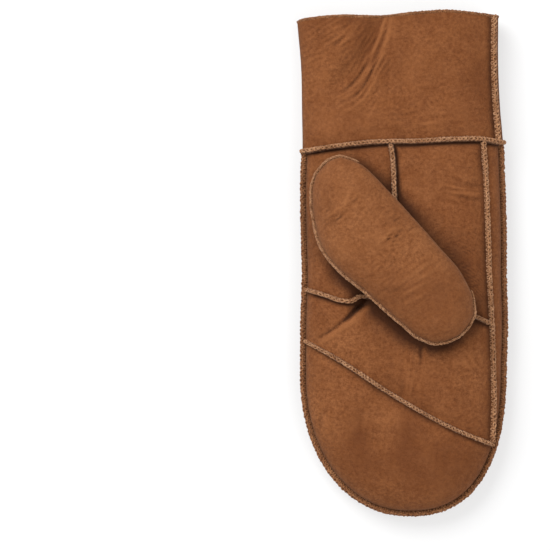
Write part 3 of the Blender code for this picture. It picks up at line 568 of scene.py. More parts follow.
# The stretches where the seams are sewn
CENTRE_SEWN = inside(CENTRE_PALM, JOIN_PALM, CROSS_PALM)
CROSS_SEWN = inside(CROSS_PALM, RIM, STRIP)
STRIP_SEWN = inside(STRIP, JOIN_PALM, DIAGONAL)
BACK_UPPER_SEWN = inside(CENTRE_BACK, JOIN_BACK, CROSS_BACK)
BACK_LOWER_SEWN = inside(CENTRE_BACK, CROSS_BACK, RIM)
PALM_SEAMS = [JOIN_PALM, CENTRE_SEWN, CROSS_SEWN, DIAGONAL, STRIP_SEWN]
BACK_SEAMS = [JOIN_BACK, BACK_UPPER_SEWN, BACK_LOWER_SEWN, CROSS_BACK]
# The hide lies up against a seam on one side and turns down on the other. Left and right of each line, in
# turn, are shares of GROOVE_DEPTH.
Groove = namedtuple("Groove", "line left right")
PALM_GROOVES = [
    Groove(JOIN_PALM, 0.05, 1.20),
    Groove(CENTRE_SEWN, 1.10, 0.20),
    Groove(CROSS_SEWN, 0.10, 0.70),
    Groove(DIAGONAL, 0.10, 0.45),
    Groove(STRIP_SEWN, 0.10, 0.45),
]
BACK_GROOVES = [
    Groove(JOIN_BACK, 0.05, 1.20),
    Groove(BACK_UPPER_SEWN, 0.20, 0.80),
    Groove(BACK_LOWER_SEWN, 0.80, 0.20),
    Groove(CROSS_BACK, 0.10, 0.90),
]


# The rounded hand that the panels lie on


def roll(distance, width):
    """Height share of a surface that rounds down to its edge, at a distance from that edge."""
    t = np.clip(distance / width, 0, 1)
    return np.sqrt(1 - (1 - t) ** 2)


def drawn_in(points, seams):
    """How far the seams draw the hide in at each point."""
    nearest = np.min([distance_to(points, seam) for seam in seams], axis=0)
    t = np.clip(nearest / SINK_REACH, 0, 1)
    return SEAM_SINK * (1 - t**2) ** 2


def dented(points, dents):
    depth = np.zeros(len(points))
    for dent in dents:
        line = smooth_line([hand_point(at) for at in dent.path])
        depth += dent.depth * np.exp(-((distance_to(points, line) / dent.half_width) ** 2))
    return depth


def crown_at(points):
    """Height of the palm's middle over the edge seam, at each point's place along the mitten."""
    along = (MOUTH_Y - points[:, 1]) / (MOUTH_Y - TIP_Y)
    return CROWN * read_table(RISES, "along", "crown", along)


def edge_share(points, edges, width):
    nearest = np.min([distance_to(points, edge) for edge in edges], axis=0)
    return roll(nearest, width)


def palm_base(points, edges=HAND_EDGES, slot=PANEL_GAP):
    """Height of the palm side with no seam or fold in it."""
    return EDGE_HEIGHT + slot + (crown_at(points) - slot) * edge_share(points, edges, PALM_ROLL)


def palm_height(points, edges=HAND_EDGES, slot=PANEL_GAP):
    share = edge_share(points, edges, PALM_ROLL)
    sunk = drawn_in(points, PALM_SEAMS) + dented(points, PALM_DENTS)
    return palm_base(points, edges, slot) - share * sunk


def back_height(points, edges=HAND_EDGES, slot=PANEL_GAP):
    share = edge_share(points, edges, BACK_ROLL)
    sunk = drawn_in(points, BACK_SEAMS) + dented(points, BACK_DENTS)
    return (EDGE_HEIGHT - slot) * (1 - share) + share * sunk


def cuff_height_palm(points):
    return palm_height(points, CUFF_EDGES, 0.0)


def cuff_height_back(points):
    return back_height(points, CUFF_EDGES, 0.0)


# Creases, wrinkles and unevenness of the outer face

CREASE_SHARE = 1.25  # creases go this many times as deep as their rows say
WRINKLE_SHARE = 1.7  # and wrinkles this many times
LIP_AWAY = 2.0  # a lip stands this many half widths beside its crease
LIP_WIDTH = 1.6
WRINKLE_BEND = 3.4  # how much the wrinkles wander, in radians of their wave
WRINKLE_POINT = 1.4  # more than 1 makes them narrow
# Lumps in the hide all over: their size and depth, and a seed for where they are
Lumps = namedtuple("Lumps", "size depth seed")
UNEVEN = [Lumps(0.0150, 0.00030, 1.3), Lumps(0.0060, 0.00013, 5.9), Lumps(0.0026, 0.00004, 8.2)]


def creased(points, creases, place=hand_point):
    """How deep the creases go at each point. Beside a crease its lip stands up, a negative depth."""
    depth = np.zeros(len(points))
    for crease in creases:
        off, share = across_line(points, smooth_line([place(at) for at in crease.path]))
        fade = np.sqrt(np.clip(np.sin(math.pi * np.clip(share, 0.03, 0.97)), 0, 1))
        near = np.exp(-((off / crease.half_width) ** 2))
        lip = np.exp(-(((off - LIP_AWAY * crease.half_width) / (LIP_WIDTH * crease.half_width)) ** 2))
        depth += CREASE_SHARE * fade * (crease.depth * near - crease.lip * lip)
    return depth


def noise_at(points, size, seed):
    """Smooth noise from -1 to 1, with lumps of the given size."""
    return np.array([noise.noise(Vector((x / size + seed, y / size, seed))) for x, y in points])


def wrinkled(points, patches, place=hand_point):
    """How deep the fine wrinkles go at each point: broken waves across each patch's direction."""
    depth = np.zeros(len(points))
    for number, patch in enumerate(patches):
        off = points - np.array(place(patch.middle))
        turn = math.radians(patch.direction)
        along = off @ np.array([math.cos(turn), math.sin(turn)])
        across = off @ np.array([-math.sin(turn), math.cos(turn)])
        fade = np.exp(-((off[:, 0] / patch.reach[0]) ** 2) - (off[:, 1] / patch.reach[1]) ** 2)
        near = fade > 0.02
        if not near.any():
            continue
        along, across = along[near], across[near]
        bend = noise_at(np.stack([along / 2.5, across], axis=1), 2 * patch.spacing, number + 3.7)
        breaks = noise_at(np.stack([along, across], axis=1), 3 * patch.spacing, number + 9.1)
        wave = np.sin(2 * math.pi * across / patch.spacing + WRINKLE_BEND * bend)
        wave = np.sign(wave) * np.abs(wave) ** WRINKLE_POINT
        whole = np.clip(0.6 + 1.4 * breaks, 0, 1.4)
        depth[near] += WRINKLE_SHARE * patch.depth * fade[near] * wave * whole
    return depth


def uneven(points):
    return sum(lumps.depth * noise_at(points, lumps.size, lumps.seed) for lumps in UNEVEN)


def beside_seams(points, grooves, reach):
    """How open the hide lies beside the seams, as a share that fades out over a reach."""
    share = np.zeros(len(points))
    for groove in grooves:
        off, _ = across_line(points, groove.line)
        fade = np.exp(-((np.maximum(np.abs(off) - PANEL_GAP, 0) / reach) ** 2))
        share = np.maximum(share, np.where(off > 0, groove.left, groove.right) * fade)
    return share


def grooved(points, grooves):
    return GROOVE_DEPTH * beside_seams(points, grooves, GROOVE_WIDTH)


def shaded(points, grooves, rims=(RIM_INSIDE,)):
    """How dark the painted shade on the hide is beside its seams and along its rims."""
    nearest = np.min([distance_to(points, rim) for rim in rims], axis=0)
    at_rim = np.exp(-((nearest / RIM_SHADE_REACH) ** 2))
    return beside_seams(points, grooves, SHADE_REACH) + RIM_SHADE * at_rim


def brushed_and_shaded(points, patches, place=hand_point):
    """How pale, up to 1, or dark, down to -1, the patches make the hide: rubbed nap, and in places painted
    shade.
    """
    change = np.zeros(len(points))
    for patch in patches:
        off = (points - np.array(place(patch.middle))) / patch.reach
        change += patch.change * np.exp(-(off**2).sum(1))
    return change


def under_thumb(points):
    """The painted shadow on the palm beside the thumb, where the thumb stands over it."""
    even = np.linspace(0, 1, 120)
    shade = np.zeros(len(points))
    for edge, name in zip(thumb_outline(even, 0.0), ("seam_side", "fold_side")):
        off, share = across_line(points, edge)
        strength = read_table(THUMB_SHADES, "along", name, share)
        reach = read_table(THUMB_SHADES, "along", "reach", share)
        shade = np.maximum(shade, strength * np.exp(-((off / reach) ** 2)))
    return shade


def palm_depth(points, share, grooves):
    """How deep the palm side's relief goes. A share of 0 keeps the hide as it is at its edge."""
    deep = creased(points, PALM_CREASES) + wrinkled(points, PALM_WRINKLES) + uneven(points)
    return share * (deep + grooved(points, grooves))


def back_depth(points, share, grooves):
    deep = creased(points, BACK_CREASES) + wrinkled(points, BACK_WRINKLES) + np.abs(uneven(points))
    return share * (deep + grooved(points, grooves))


# Panels in plan


def sizes_between(length, start_cell, end_cell):
    """Shares from 0 to 1 whose steps grow from a small cell at each end to the usual one."""
    places = [0.0]
    while places[-1] < length:
        near = min(start_cell + CELL_GROWTH * places[-1], end_cell + CELL_GROWTH * (length - places[-1]))
        places.append(places[-1] + min(CELL, max(near, min(start_cell, end_cell))))
    return np.array(places) / places[-1]


def blended(up, down, left, right, across, along):
    """Points of a four-sided patch, blended between its edges. Rows run down, columns run to the right."""
    top, bottom, start, end = (
        points_at(line, shares * lengths_along(line)[-1])
        for line, shares in ((up, across), (down, across), (left, along), (right, along))
    )
    u, v = across[None, :, None], along[:, None, None]
    return (
        (1 - v) * top[None]
        + v * bottom[None]
        + (1 - u) * start[:, None]
        + u * end[:, None]
        - (1 - u) * (1 - v) * top[0]
        - u * (1 - v) * top[-1]
        - (1 - u) * v * bottom[0]
        - u * v * bottom[-1]
    )


def cell_at(line):
    """The size of a face beside a line: small at the rim, where the hide rolls over."""
    return ROLL_CELL if line is RIM_INSIDE else SEAM_CELL


def four_sided(up, down, left, right):
    """Plan grid of a panel between four lines. A side may be the rim."""
    up_left, up_right = meet(up, left), meet(up, right, last=True)
    down_left, down_right = meet(down, left), meet(down, right, last=True)
    top = stretch(up, up_left[0], up_right[0])
    bottom = stretch(down, down_left[0], down_right[0])
    start = stretch(left, up_left[1], down_left[1])
    end = stretch(right, up_right[1], down_right[1])
    across = sizes_between(lengths_along(top)[-1], cell_at(left), cell_at(right))
    along = sizes_between(lengths_along(start)[-1], SEAM_CELL, SEAM_CELL)
    return blended(top, bottom, start, end, across, along)


def three_sided(up, left, right):
    """Plan grid of a panel that runs down to a corner at the tip. One of its sides is the rim."""
    up_left, up_right = meet(up, left), meet(up, right, last=True)
    seam, on_left = (right, False) if left is RIM_INSIDE else (left, True)
    tip_seam, tip_rim = meet(seam, RIM_INSIDE)
    top = stretch(up, up_left[0], up_right[0])
    start = stretch(left, up_left[1], tip_seam if on_left else tip_rim)
    end = stretch(right, up_right[1], tip_rim if on_left else tip_seam)
    corner = np.vstack([start[-1], start[-1]])
    across = sizes_between(lengths_along(top)[-1], cell_at(left), cell_at(right))
    along = sizes_between(lengths_along(start)[-1], SEAM_CELL, ROLL_CELL)
    return blended(top, corner, start, end, across, along)


def crescent(up):
    """Plan grid of a panel between one line and the rim below it."""
    first, last = meet(up, RIM_INSIDE), meet(up, RIM_INSIDE, last=True)
    top = stretch(up, first[0], last[0])
    bottom = stretch(RIM_INSIDE, first[1], last[1])
    start = np.vstack([top[0], top[0]])
    end = np.vstack([top[-1], top[-1]])
    across = sizes_between(lengths_along(top)[-1], ROLL_CELL, ROLL_CELL)
    along = sizes_between(0.6 * lengths_along(top)[-1], SEAM_CELL, ROLL_CELL)
    return blended(top, bottom, start, end, across, along)


def beside(line, side, height, gap=PANEL_GAP):
    """A line moved to one side in plan, so that it lies a gap away on the bent surface."""
    out = side * sideways(line)
    slope = (height(line + out * gap) - height(line)) / gap
    return line + out * (gap / np.sqrt(1 + slope**2))[:, None]


# Meshes


def grid_faces(rows, columns, facing_up):
    """The faces of a grid of points."""
    i, j = np.meshgrid(np.arange(rows - 1), np.arange(columns - 1), indexing="ij")
    first = (i * columns + j).ravel()
    faces = np.stack([first, first + columns, first + columns + 1, first + 1], axis=1)
    return faces if facing_up else faces[:, ::-1]


def mesh_of(name, sheets):
    """A mesh of grids of points, each with the way that it faces, joined where they touch."""
    points, faces, first = [], [], 0
    for grid, facing_up in sheets:
        points.append(grid.reshape(-1, 3))
        faces.append(grid_faces(*grid.shape[:2], facing_up) + first)
        first += grid.shape[0] * grid.shape[1]
    mesh = bpy.data.meshes.new(name)
    mesh.from_pydata(np.vstack(points).tolist(), [], np.vstack(faces).tolist())
    bm = bmesh.new()
    bm.from_mesh(mesh)
    bmesh.ops.remove_doubles(bm, verts=bm.verts, dist=2e-6)
    bmesh.ops.dissolve_degenerate(bm, edges=bm.edges, dist=1e-7)
    bm.to_mesh(mesh)
    bm.free()
    return mesh


def shown(name, mesh, materials, node):
    """The piece that stands for a node, as an object with its materials."""
    obj = bpy.data.objects.new(name, mesh)
    for finish in materials:
        mesh.materials.append(finish)
    bpy.context.scene.collection.objects.link(obj)
    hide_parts(node)
    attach(obj, "root")
    return obj


def vertices_of(mesh):
    points = np.empty(len(mesh.vertices) * 3)
    mesh.vertices.foreach_get("co", points)
    return points.reshape(-1, 3)


def thickened(mesh):
    """A new mesh with an inner face, a wall's thickness inside. Its first points are those of the old one."""
    obj = bpy.data.objects.new("wall", mesh)
    bpy.context.scene.collection.objects.link(obj)
    wall = obj.modifiers.new("hide", "SOLIDIFY")
    wall.thickness = WALL
    wall.offset = -1
    wall.material_offset = 1
    made = bpy.data.meshes.new_from_object(obj.evaluated_get(bpy.context.evaluated_depsgraph_get()))
    bpy.data.objects.remove(obj)
    return made


# What a hide's outer face takes at its points: how deep its relief goes in, with 1 or -1 for the way that is
# in, how much painted shade it takes beside the seams, and its patches of paler and darker nap, some dark
# ones painted shade.
Surface = namedtuple("Surface", "relief shade brush")


def note(mesh, name, values, count):
    """Keeps a value for each of the outer face's points, for the finish to read."""
    whole = np.zeros(len(mesh.vertices))
    whole[:count] = np.clip(values, -1, 1)
    mesh.attributes.new(name, "FLOAT", "POINT").data.foreach_set("value", whole)


def hide(name, sheets, surface, tone):
    """A panel: its smooth outer face is thickened, then takes its relief, and its tones and painted shade are
    noted.
    """
    outer = mesh_of(name, sheets)
    count = len(outer.vertices)
    outer.materials.append(tone)
    outer.materials.append(FLEECE)
    mesh = thickened(outer)
    mesh.name = name
    points = vertices_of(mesh)
    face = points[:count].copy()
    depth, inward = surface.relief(face)
    points[:count, 2] += inward * depth
    points[:, 2] = np.maximum(points[:, 2], FLOOR_GAP)
    mesh.vertices.foreach_set("co", points.ravel())
    # painted shade: the hollow value darkens the hide in the relief's hollows, beside the seams and beside
    # the thumb
    note(mesh, "hollow", depth / DEEP + SEAM_SHADE * surface.shade(face), count)
    note(mesh, "brushed_and_shaded", surface.brush(face), count)
    mesh.shade_smooth()
    mesh.set_sharp_from_angle(angle=math.radians(70))
    return shown("hide_" + name, mesh, (), name)


def lifted(plan, height):
    """A grid in plan, lifted onto a surface."""
    flat = plan.reshape(-1, 2)
    return np.column_stack([flat, height(flat)]).reshape(*plan.shape[:2], 3)


# Finishes


class Nodes:
    """Adds nodes to a tree and links them: a value that is a socket is linked, and any other is set."""

    def __init__(self, tree):
        self.tree = tree

    def add(self, kind, values=None, **settings):
        node = self.tree.nodes.new(kind)
        for name, value in settings.items():
            setattr(node, name, value)
        for key, value in (values or {}).items():
            if isinstance(value, bpy.types.NodeSocket):
                self.tree.links.new(value, node.inputs[key])
            else:
                node.inputs[key].default_value = value
        return node

    def mix(self, amount, first, second):
        """One colour mixed with another. A mix node has its colours at inputs 6 and 7."""
        node = self.add("ShaderNodeMix", {0: amount, 6: first, 7: second}, data_type="RGBA")
        return node.outputs[2]

    def math(self, kind, first, second=0.0, third=0.0):
        node = self.add("ShaderNodeMath", {0: first, 1: second, 2: third}, operation=kind)
        return node.outputs[0]

    def times(self, first, second):
        return self.math("MULTIPLY", first, second)

    def noise(self, place, scale, detail=3.0, rough=0.55, bend=0.0):
        """Noise with a scale in lumps for each metre."""
        values = {"Vector": place, "Scale": scale, "Detail": detail, "Roughness": rough, "Distortion": bend}
        return self.add("ShaderNodeTexNoise", values).outputs["Fac"]

    def ramp(self, value, low, high):
        node = self.add("ShaderNodeMapRange", {"Value": value, "From Min": low, "From Max": high})
        return node.outputs[0]


def group(name, inputs, outputs):
    """A new node group with named sockets, its nodes, its input sockets and its output node."""
    tree = bpy.data.node_groups.new(name, "ShaderNodeTree")
    for label, kind, value in inputs:
        socket = tree.interface.new_socket(label, in_out="INPUT", socket_type=kind)
        socket.default_value = value
    for label, kind in outputs:
        tree.interface.new_socket(label, in_out="OUTPUT", socket_type=kind)
    nodes = Nodes(tree)
    return tree, nodes, nodes.add("NodeGroupInput").outputs, nodes.add("NodeGroupOutput").inputs


COLOUR, NUMBER = "NodeSocketColor", "NodeSocketFloat"
GREY = (0.5, 0.5, 0.5, 1.0)


def mottled_hide():
    """Nubuck's tone: clouds, patches and specks between a light and a dark, painted shade in the hollows, and
    paler raised relief.
    """
    tree, nodes, given, put = group(
        "mottled_hide",
        (
            ("Base", COLOUR, GREY),
            ("Light", COLOUR, GREY),
            ("Dark", COLOUR, GREY),
            ("Painted shade tone", COLOUR, GREY),
            ("Hollow", NUMBER, 0.0),
            ("Brushed and shaded", NUMBER, 0.0),
            ("Speck size", NUMBER, 0.0019),
            ("Specks", NUMBER, 0.8),
        ),
        (("Color", COLOUR), ("Rub", NUMBER)),
    )
    place = nodes.add("ShaderNodeTexCoord").outputs["Object"]
    clouds = nodes.ramp(nodes.noise(place, 1 / 0.030, 3.0, 0.5), 0.36, 0.66)
    patches = nodes.ramp(nodes.noise(place, 1 / 0.0065, 4.0, 0.62, 0.4), 0.34, 0.66)
    speck_scale = nodes.math("DIVIDE", 1.0, given["Speck size"])
    coarse = nodes.ramp(nodes.noise(place, speck_scale, 3.0, 0.65), 0.37, 0.63)
    fine = nodes.ramp(nodes.noise(place, nodes.times(speck_scale, 2.7), 2.0, 0.6), 0.34, 0.66)
    specks = nodes.math("ADD", nodes.times(coarse, 0.55), nodes.times(fine, 0.45))
    pale = nodes.math("ADD", nodes.times(patches, 0.40), nodes.times(given["Brushed and shaded"], 0.75))
    # darker nap from the dark patches, painted shade where they lie in dents or beside the thumb
    dusky = nodes.ramp(given["Brushed and shaded"], 0.0, -1.0)
    raised = nodes.ramp(given["Hollow"], 0.0, -0.28)
    # painted shade: darker in hollows, beside the seams and beside the thumb
    sunk = nodes.ramp(given["Hollow"], 0.04, 0.60)
    tone = given["Base"]
    for amount, toward in (
        (nodes.times(clouds, 0.35), "Dark"),
        (nodes.ramp(pale, 0.0, 1.0), "Light"),
        (nodes.times(dusky, 0.85), "Dark"),
        (nodes.times(specks, given["Specks"]), "Dark"),
        (nodes.times(raised, 0.55), "Light"),
        (nodes.times(sunk, 0.85), "Painted shade tone"),
    ):
        tone = nodes.mix(amount, tone, given[toward])
    nodes.tree.links.new(tone, put["Color"])
    nodes.tree.links.new(patches, put["Rub"])
    return tree


def nap_grain():
    """Heights of the leather's nap: fine grain over faint creasing, and patches of fine streaks."""
    tree, nodes, given, put = group(
        "nap_grain",
        (
            ("Grain size", NUMBER, 0.0006),
            ("Grain", NUMBER, 0.3),
            ("Creasing", NUMBER, 1.0),
            ("Streaks", NUMBER, 0.0),
        ),
        (("Height", NUMBER),),
    )
    place = nodes.add("ShaderNodeTexCoord").outputs["Object"]
    grain_scale = nodes.math("DIVIDE", 1.0, given["Grain size"])
    fine = nodes.times(nodes.noise(place, grain_scale, 3.0, 0.65), given["Grain"])
    folded = nodes.times(nodes.noise(place, 1 / 0.0030, 4.0, 0.60, 1.0), given["Creasing"])
    turned = nodes.add(
        "ShaderNodeMapping",
        {"Vector": place, "Rotation": (0, 0, math.radians(24)), "Scale": (3.6, 1, 1)},
        vector_type="TEXTURE",
    ).outputs["Vector"]
    streaks = nodes.times(nodes.noise(turned, 1 / 0.0013, 3.0, 0.6, 0.4), given["Streaks"])
    where = nodes.ramp(nodes.noise(place, 1 / 0.017, 2.0), 0.38, 0.60)
    height = nodes.math("ADD", nodes.math("ADD", fine, folded), nodes.times(streaks, where))
    nodes.tree.links.new(height, put["Height"])
    return tree


# A finish's tones, as linear red, green and blue: where it is plain, where it is rubbed pale, in its dark
# specks, and its painted shade deep in a hollow.
Tones = namedtuple("Tones", "base light dark hollow", defaults=[(0.026, 0.007, 0.002)])
# Its nap: the size of the grain in metres, how much the grain, creasing and streaks count, the height of the
# whole in metres, and how strongly it shows.
Nap = namedtuple("Nap", "grain_size grain creasing streaks distance strength")


def napped(name, rough, sheen, tones, nap, specks=0.8, speck_size=0.0019):
    """A finish with mottled tones and a nap: its material, its nodes and the node that gives its tones."""
    made = bpy.data.materials.new(name)
    made.use_nodes = True
    shader = made.node_tree.nodes["Principled BSDF"]
    shader.inputs["Roughness"].default_value = rough
    shader.inputs["Specular IOR Level"].default_value = 0.15
    shader.inputs["Sheen Weight"].default_value = sheen
    shader.inputs["Sheen Roughness"].default_value = 0.45
    nodes = Nodes(made.node_tree)
    mottling = {"Speck size": speck_size, "Specks": specks}
    for label, colour in zip(("Base", "Light", "Dark", "Painted shade tone"), tones):
        mottling[label] = (*colour, 1.0)
    tone = nodes.add("ShaderNodeGroup", mottling, node_tree=MOTTLED_HIDE)
    grain = dict(zip(("Grain size", "Grain", "Creasing", "Streaks"), nap))
    height = nodes.add("ShaderNodeGroup", grain, node_tree=NAP_GRAIN).outputs["Height"]
    relief = {"Height": height, "Distance": nap.distance, "Strength": nap.strength}
    bump = nodes.add("ShaderNodeBump", relief)
    nodes.tree.links.new(tone.outputs["Color"], shader.inputs["Base Color"])
    nodes.tree.links.new(bump.outputs["Normal"], shader.inputs["Normal"])
    return made, nodes, tone


def nubuck(name, *tones):
    """The hide's outer side: napped leather, smoother where it is rubbed, with painted shade in its hollows
    and beside its seams.
    """
    nap = Nap(0.00075, 0.42, 1.0, 0.70, 0.00075, 0.8)
    made, nodes, tone = napped(name, 0.88, 0.10, Tones(*tones), nap, specks=0.95)
    # the hollow value brings the painted shade, and the other the patches of paler and darker nap
    for label, kept in (("Hollow", "hollow"), ("Brushed and shaded", "brushed_and_shaded")):
        noted = nodes.add("ShaderNodeAttribute", attribute_name=kept).outputs["Fac"]
        nodes.tree.links.new(noted, tone.inputs[label])
    values = {"Value": tone.outputs["Rub"], "To Min": 0.95, "To Max": 0.82}
    rough = nodes.add("ShaderNodeMapRange", values).outputs[0]
    shader = made.node_tree.nodes["Principled BSDF"]
    shader.inputs["Sheen Tint"].default_value = (0.95, 0.62, 0.40, 1.0)
    nodes.tree.links.new(rough, shader.inputs["Roughness"])
    return made


def fleece():
    """The hide's inner side: a short cream wool nap."""
    tones = Tones((0.56, 0.40, 0.25), (0.74, 0.60, 0.44), (0.36, 0.23, 0.13), (0.20, 0.11, 0.06))
    return napped("inner_nap", 0.95, 0.5, tones, Nap(0.0011, 1.0, 0.8, 0.0, 0.0009, 0.9), specks=0.6)[0]


def thread(name, *tones):
    """Woollen thread: paler where it is rubbed, with its twist as a fine bump."""
    nap = Nap(0.00022, 1.0, 0.2, 0.0, 0.00014, 0.7)
    return napped(name, 0.85, 0.15, Tones(*tones), nap, specks=1.0, speck_size=0.0013)[0]


def cut_edge():
    """The two raw edges inside a seam, darker than the face."""
    tones = Tones((0.150, 0.058, 0.022), (0.260, 0.118, 0.052), (0.060, 0.020, 0.007))
    return napped("cut_edge", 0.92, 0.05, tones, Nap(0.00040, 0.8, 0.3, 0.0, 0.00025, 0.7))[0]


# Seams

# Half of a seam's section, from its top to its foot: metres to the side and up from the seam's line.
Lobe = namedtuple("Lobe", "side up")
SEAM_LOBES = [
    Lobe(0.00000, 0.00115),
    Lobe(0.00035, 0.00140),
    Lobe(0.00080, 0.00120),
    Lobe(0.00108, 0.00050),
    Lobe(0.00125, -0.00050),
    Lobe(0.00190, -0.00140),
    Lobe(0.00190, -0.00200),
]


def frames_along(path, out, closed):
    """The direction along a path, and the side and out directions square to it."""
    if closed:
        along = np.roll(path, -1, axis=0) - np.roll(path, 1, axis=0)
    else:
        along = np.gradient(path, axis=0)
    along /= np.linalg.norm(along, axis=1)[:, None]
    out = out - (out * along).sum(1)[:, None] * along
    out /= np.linalg.norm(out, axis=1)[:, None]
    return along, np.cross(along, out), out


def tube_faces(rings, sides, closed):
    """Faces between rings of points. An open tube has its end rings as its caps."""
    count = rings if closed else rings - 1
    i, j = np.meshgrid(np.arange(count), np.arange(sides), indexing="ij")
    here, there = i * sides, ((i + 1) % rings) * sides
    turn = (j + 1) % sides
    faces = np.stack([here + j, here + turn, there + turn, there + j], axis=-1).reshape(-1, 4).tolist()
    if not closed:
        faces.append(list(range(sides))[::-1])
        faces.append(list(range((rings - 1) * sides, rings * sides)))
    return faces


def round_tube(path, out, radius, closed, sides):
    along, side, out = frames_along(path, out, closed)
    turns = 2 * math.pi * np.arange(sides) / sides
    ring = np.cos(turns)[None, :, None] * out[:, None] + np.sin(turns)[None, :, None] * -side[:, None]
    points = path[:, None] + ring * np.reshape(radius, (-1, 1, 1))
    return points.reshape(-1, 3), tube_faces(len(path), sides, closed)


def stepped(path, out, step, closed):
    """A path at even steps, with its out directions."""
    both = np.hstack([path, out])
    if closed:
        both = np.vstack([both, both[:1]])
    along = lengths_along(both[:, :3])
    count = max(3, round(along[-1] / step))
    places = np.linspace(0, along[-1], count + 1)
    places = places[:-1] if closed else places
    rows = np.stack([np.interp(places, along, both[:, k]) for k in range(6)], axis=1)
    return rows[:, :3], rows[:, 3:]


def strand(path, out, closed, links, per_link, angle, lift, radius, scale, chance):
    """One thread of a seam. Angle and lift give its place over the leather edges from its turn in radians."""
    count = links * per_link
    both = np.hstack([path, out, scale[:, None]])
    if closed:
        both = np.vstack([both, both[:1]])
    along = lengths_along(both[:, :3])
    turn = 2 * math.pi * np.arange(count + (0 if closed else 1)) / per_link

    def uneven_turns(spread, per=1):
        """A value that wanders by a spread from link to link."""
        values = chance.uniform(-spread, spread, per * links + 1)
        values[-1] = values[0] if closed else values[-1]
        return np.interp(turn, np.linspace(0, 2 * math.pi * links, per * links + 1), values)

    laid = turn / (2 * math.pi)
    at_ends = np.clip(np.minimum(laid, links - laid), 0, 1)
    places = (laid + uneven_turns(0.26) * at_ends) / links * along[-1]
    rows = np.stack([np.interp(places, along, both[:, k]) for k in range(7)], axis=1)
    centre, size = rows[:, :3], rows[:, 6]
    _, side, out_there = frames_along(centre, rows[:, 3:6], closed)
    theta = angle(turn) * (1 + uneven_turns(0.24, 2)) + uneven_turns(0.20)
    grow = size * (1 + (lift(turn) + uneven_turns(0.00016, 2)) / THREAD_TOP)
    line = (
        centre
        + side * (THREAD_SIDE * grow * np.sin(theta))[:, None]
        + out_there * (THREAD_TOP * grow * np.cos(theta))[:, None]
    )
    away = side * np.sin(theta)[:, None] + out_there * np.cos(theta)[:, None]
    thick = radius * size * (1 + uneven_turns(0.28, 2)) * chance.uniform(0.86, 1.14, len(line))
    return round_tube(line, away, thick, closed, sides=6)


def strands_of(sign):
    """The chain thread and the overcasting loops on one side of a seam."""

    def chain(turn):
        return sign * CHAIN_SPREAD * np.sin(turn / 2)

    def chain_lift(turn):
        return OVER * (0.6 + sign * 0.7 * np.cos(turn / 2))

    def loops(turn):
        return sign * (LOOP_INNER + (LOOP_OUTER - LOOP_INNER) * (1 - np.cos(turn)) / 2)

    def loops_lift(turn):
        return OVER * -0.4 * np.cos(turn)

    return (chain, chain_lift, THREAD_RADIUS, 8), (loops, loops_lift, LOOP_RADIUS, 9)


def tapered(path, scale, taper):
    """A seam's size at each point of its path, smaller within a taper's length of both ends."""
    along = lengths_along(path)
    near = np.clip(np.minimum(along, along[-1] - along) / max(taper, CORE_STEP), 0, 1)
    return scale * (TAPER_END + (1 - TAPER_END) * near) if taper else np.full(len(path), scale)


def seam(node, path, out, seed, thread=None, closed=False, scale=1.0, taper=0.0):
    """A raised seam: the two leather edges, and the thread that binds them."""
    chance = np.random.default_rng(1000 + seed)
    path, out = stepped(path, out, CORE_STEP, closed)
    _, side, up = frames_along(path, out, closed)
    size = tapered(path, scale, taper)
    half = list(SEAM_LOBES)
    section = half + [Lobe(-lobe.side, lobe.up) for lobe in half[:0:-1]]
    sides, ups = np.array(section).T
    rough = chance.uniform(0.92, 1.08, (len(path), len(section))) * size[:, None]
    core = path[:, None] - side[:, None] * (sides * rough)[..., None] + up[:, None] * (ups * rough)[..., None]
    parts = [(core.reshape(-1, 3), tube_faces(len(path), len(section), closed), 0)]
    length = lengths_along(path)[-1]
    links = max(2, 2 * round(length / STITCH / scale**0.5 / 2))
    for sign in (1, -1):
        for angle, lift, radius, per_link in strands_of(sign):
            points, faces = strand(path, out, closed, links, per_link, angle, lift, radius, size, chance)
            parts.append((points, faces, 1))
    mesh = bpy.data.meshes.new(node)
    points, faces, finishes, first = [], [], [], 0
    for some, their_faces, kind in parts:
        points.append(some)
        faces += [[first + k for k in face] for face in their_faces]
        finishes += [kind] * len(their_faces)
        first += len(some)
    points = np.vstack(points)
    points[:, 2] = np.maximum(points[:, 2], FLOOR_GAP)
    mesh.from_pydata(points.tolist(), [], faces)
    mesh.polygons.foreach_set("material_index", finishes)
    mesh.shade_smooth()
    shown("stitched_" + node, mesh, (CUT_EDGE, thread or THREAD), node)


def normals_on(line, height, sign):
    """The direction straight out of a surface, at points of a line in plan."""
    step = 0.0004
    slopes = [
        (height(line + np.array(move)) - height(line - np.array(move))) / (2 * step)
        for move in ((step, 0.0), (0.0, step))
    ]
    out = np.stack([-slopes[0], -slopes[1], np.ones(len(line))], axis=1) * sign
    return out / np.linalg.norm(out, axis=1)[:, None]


def laid_seam(node, line, height, sign, scale, seed):
    """A seam over a line in plan, laid on the palm or the back and cut short at both ends."""
    flat = points_at(line, np.linspace(END_GAP, lengths_along(line)[-1] - END_GAP, 260))
    path = np.column_stack([flat, height(flat)])
    seam(node, path, normals_on(flat, height, sign), scale=scale, seed=seed)


# Pieces


def flat_surface(surface):
    """The same surface for points in space, each read at its place in plan."""
    return Surface(*(lambda points, read=read: read(points[:, :2]) for read in surface))


def both_sides(line, height):
    """The edges of the hide to the right and to the left of a seam's line."""
    return beside(line, -1, height), beside(line, 1, height)


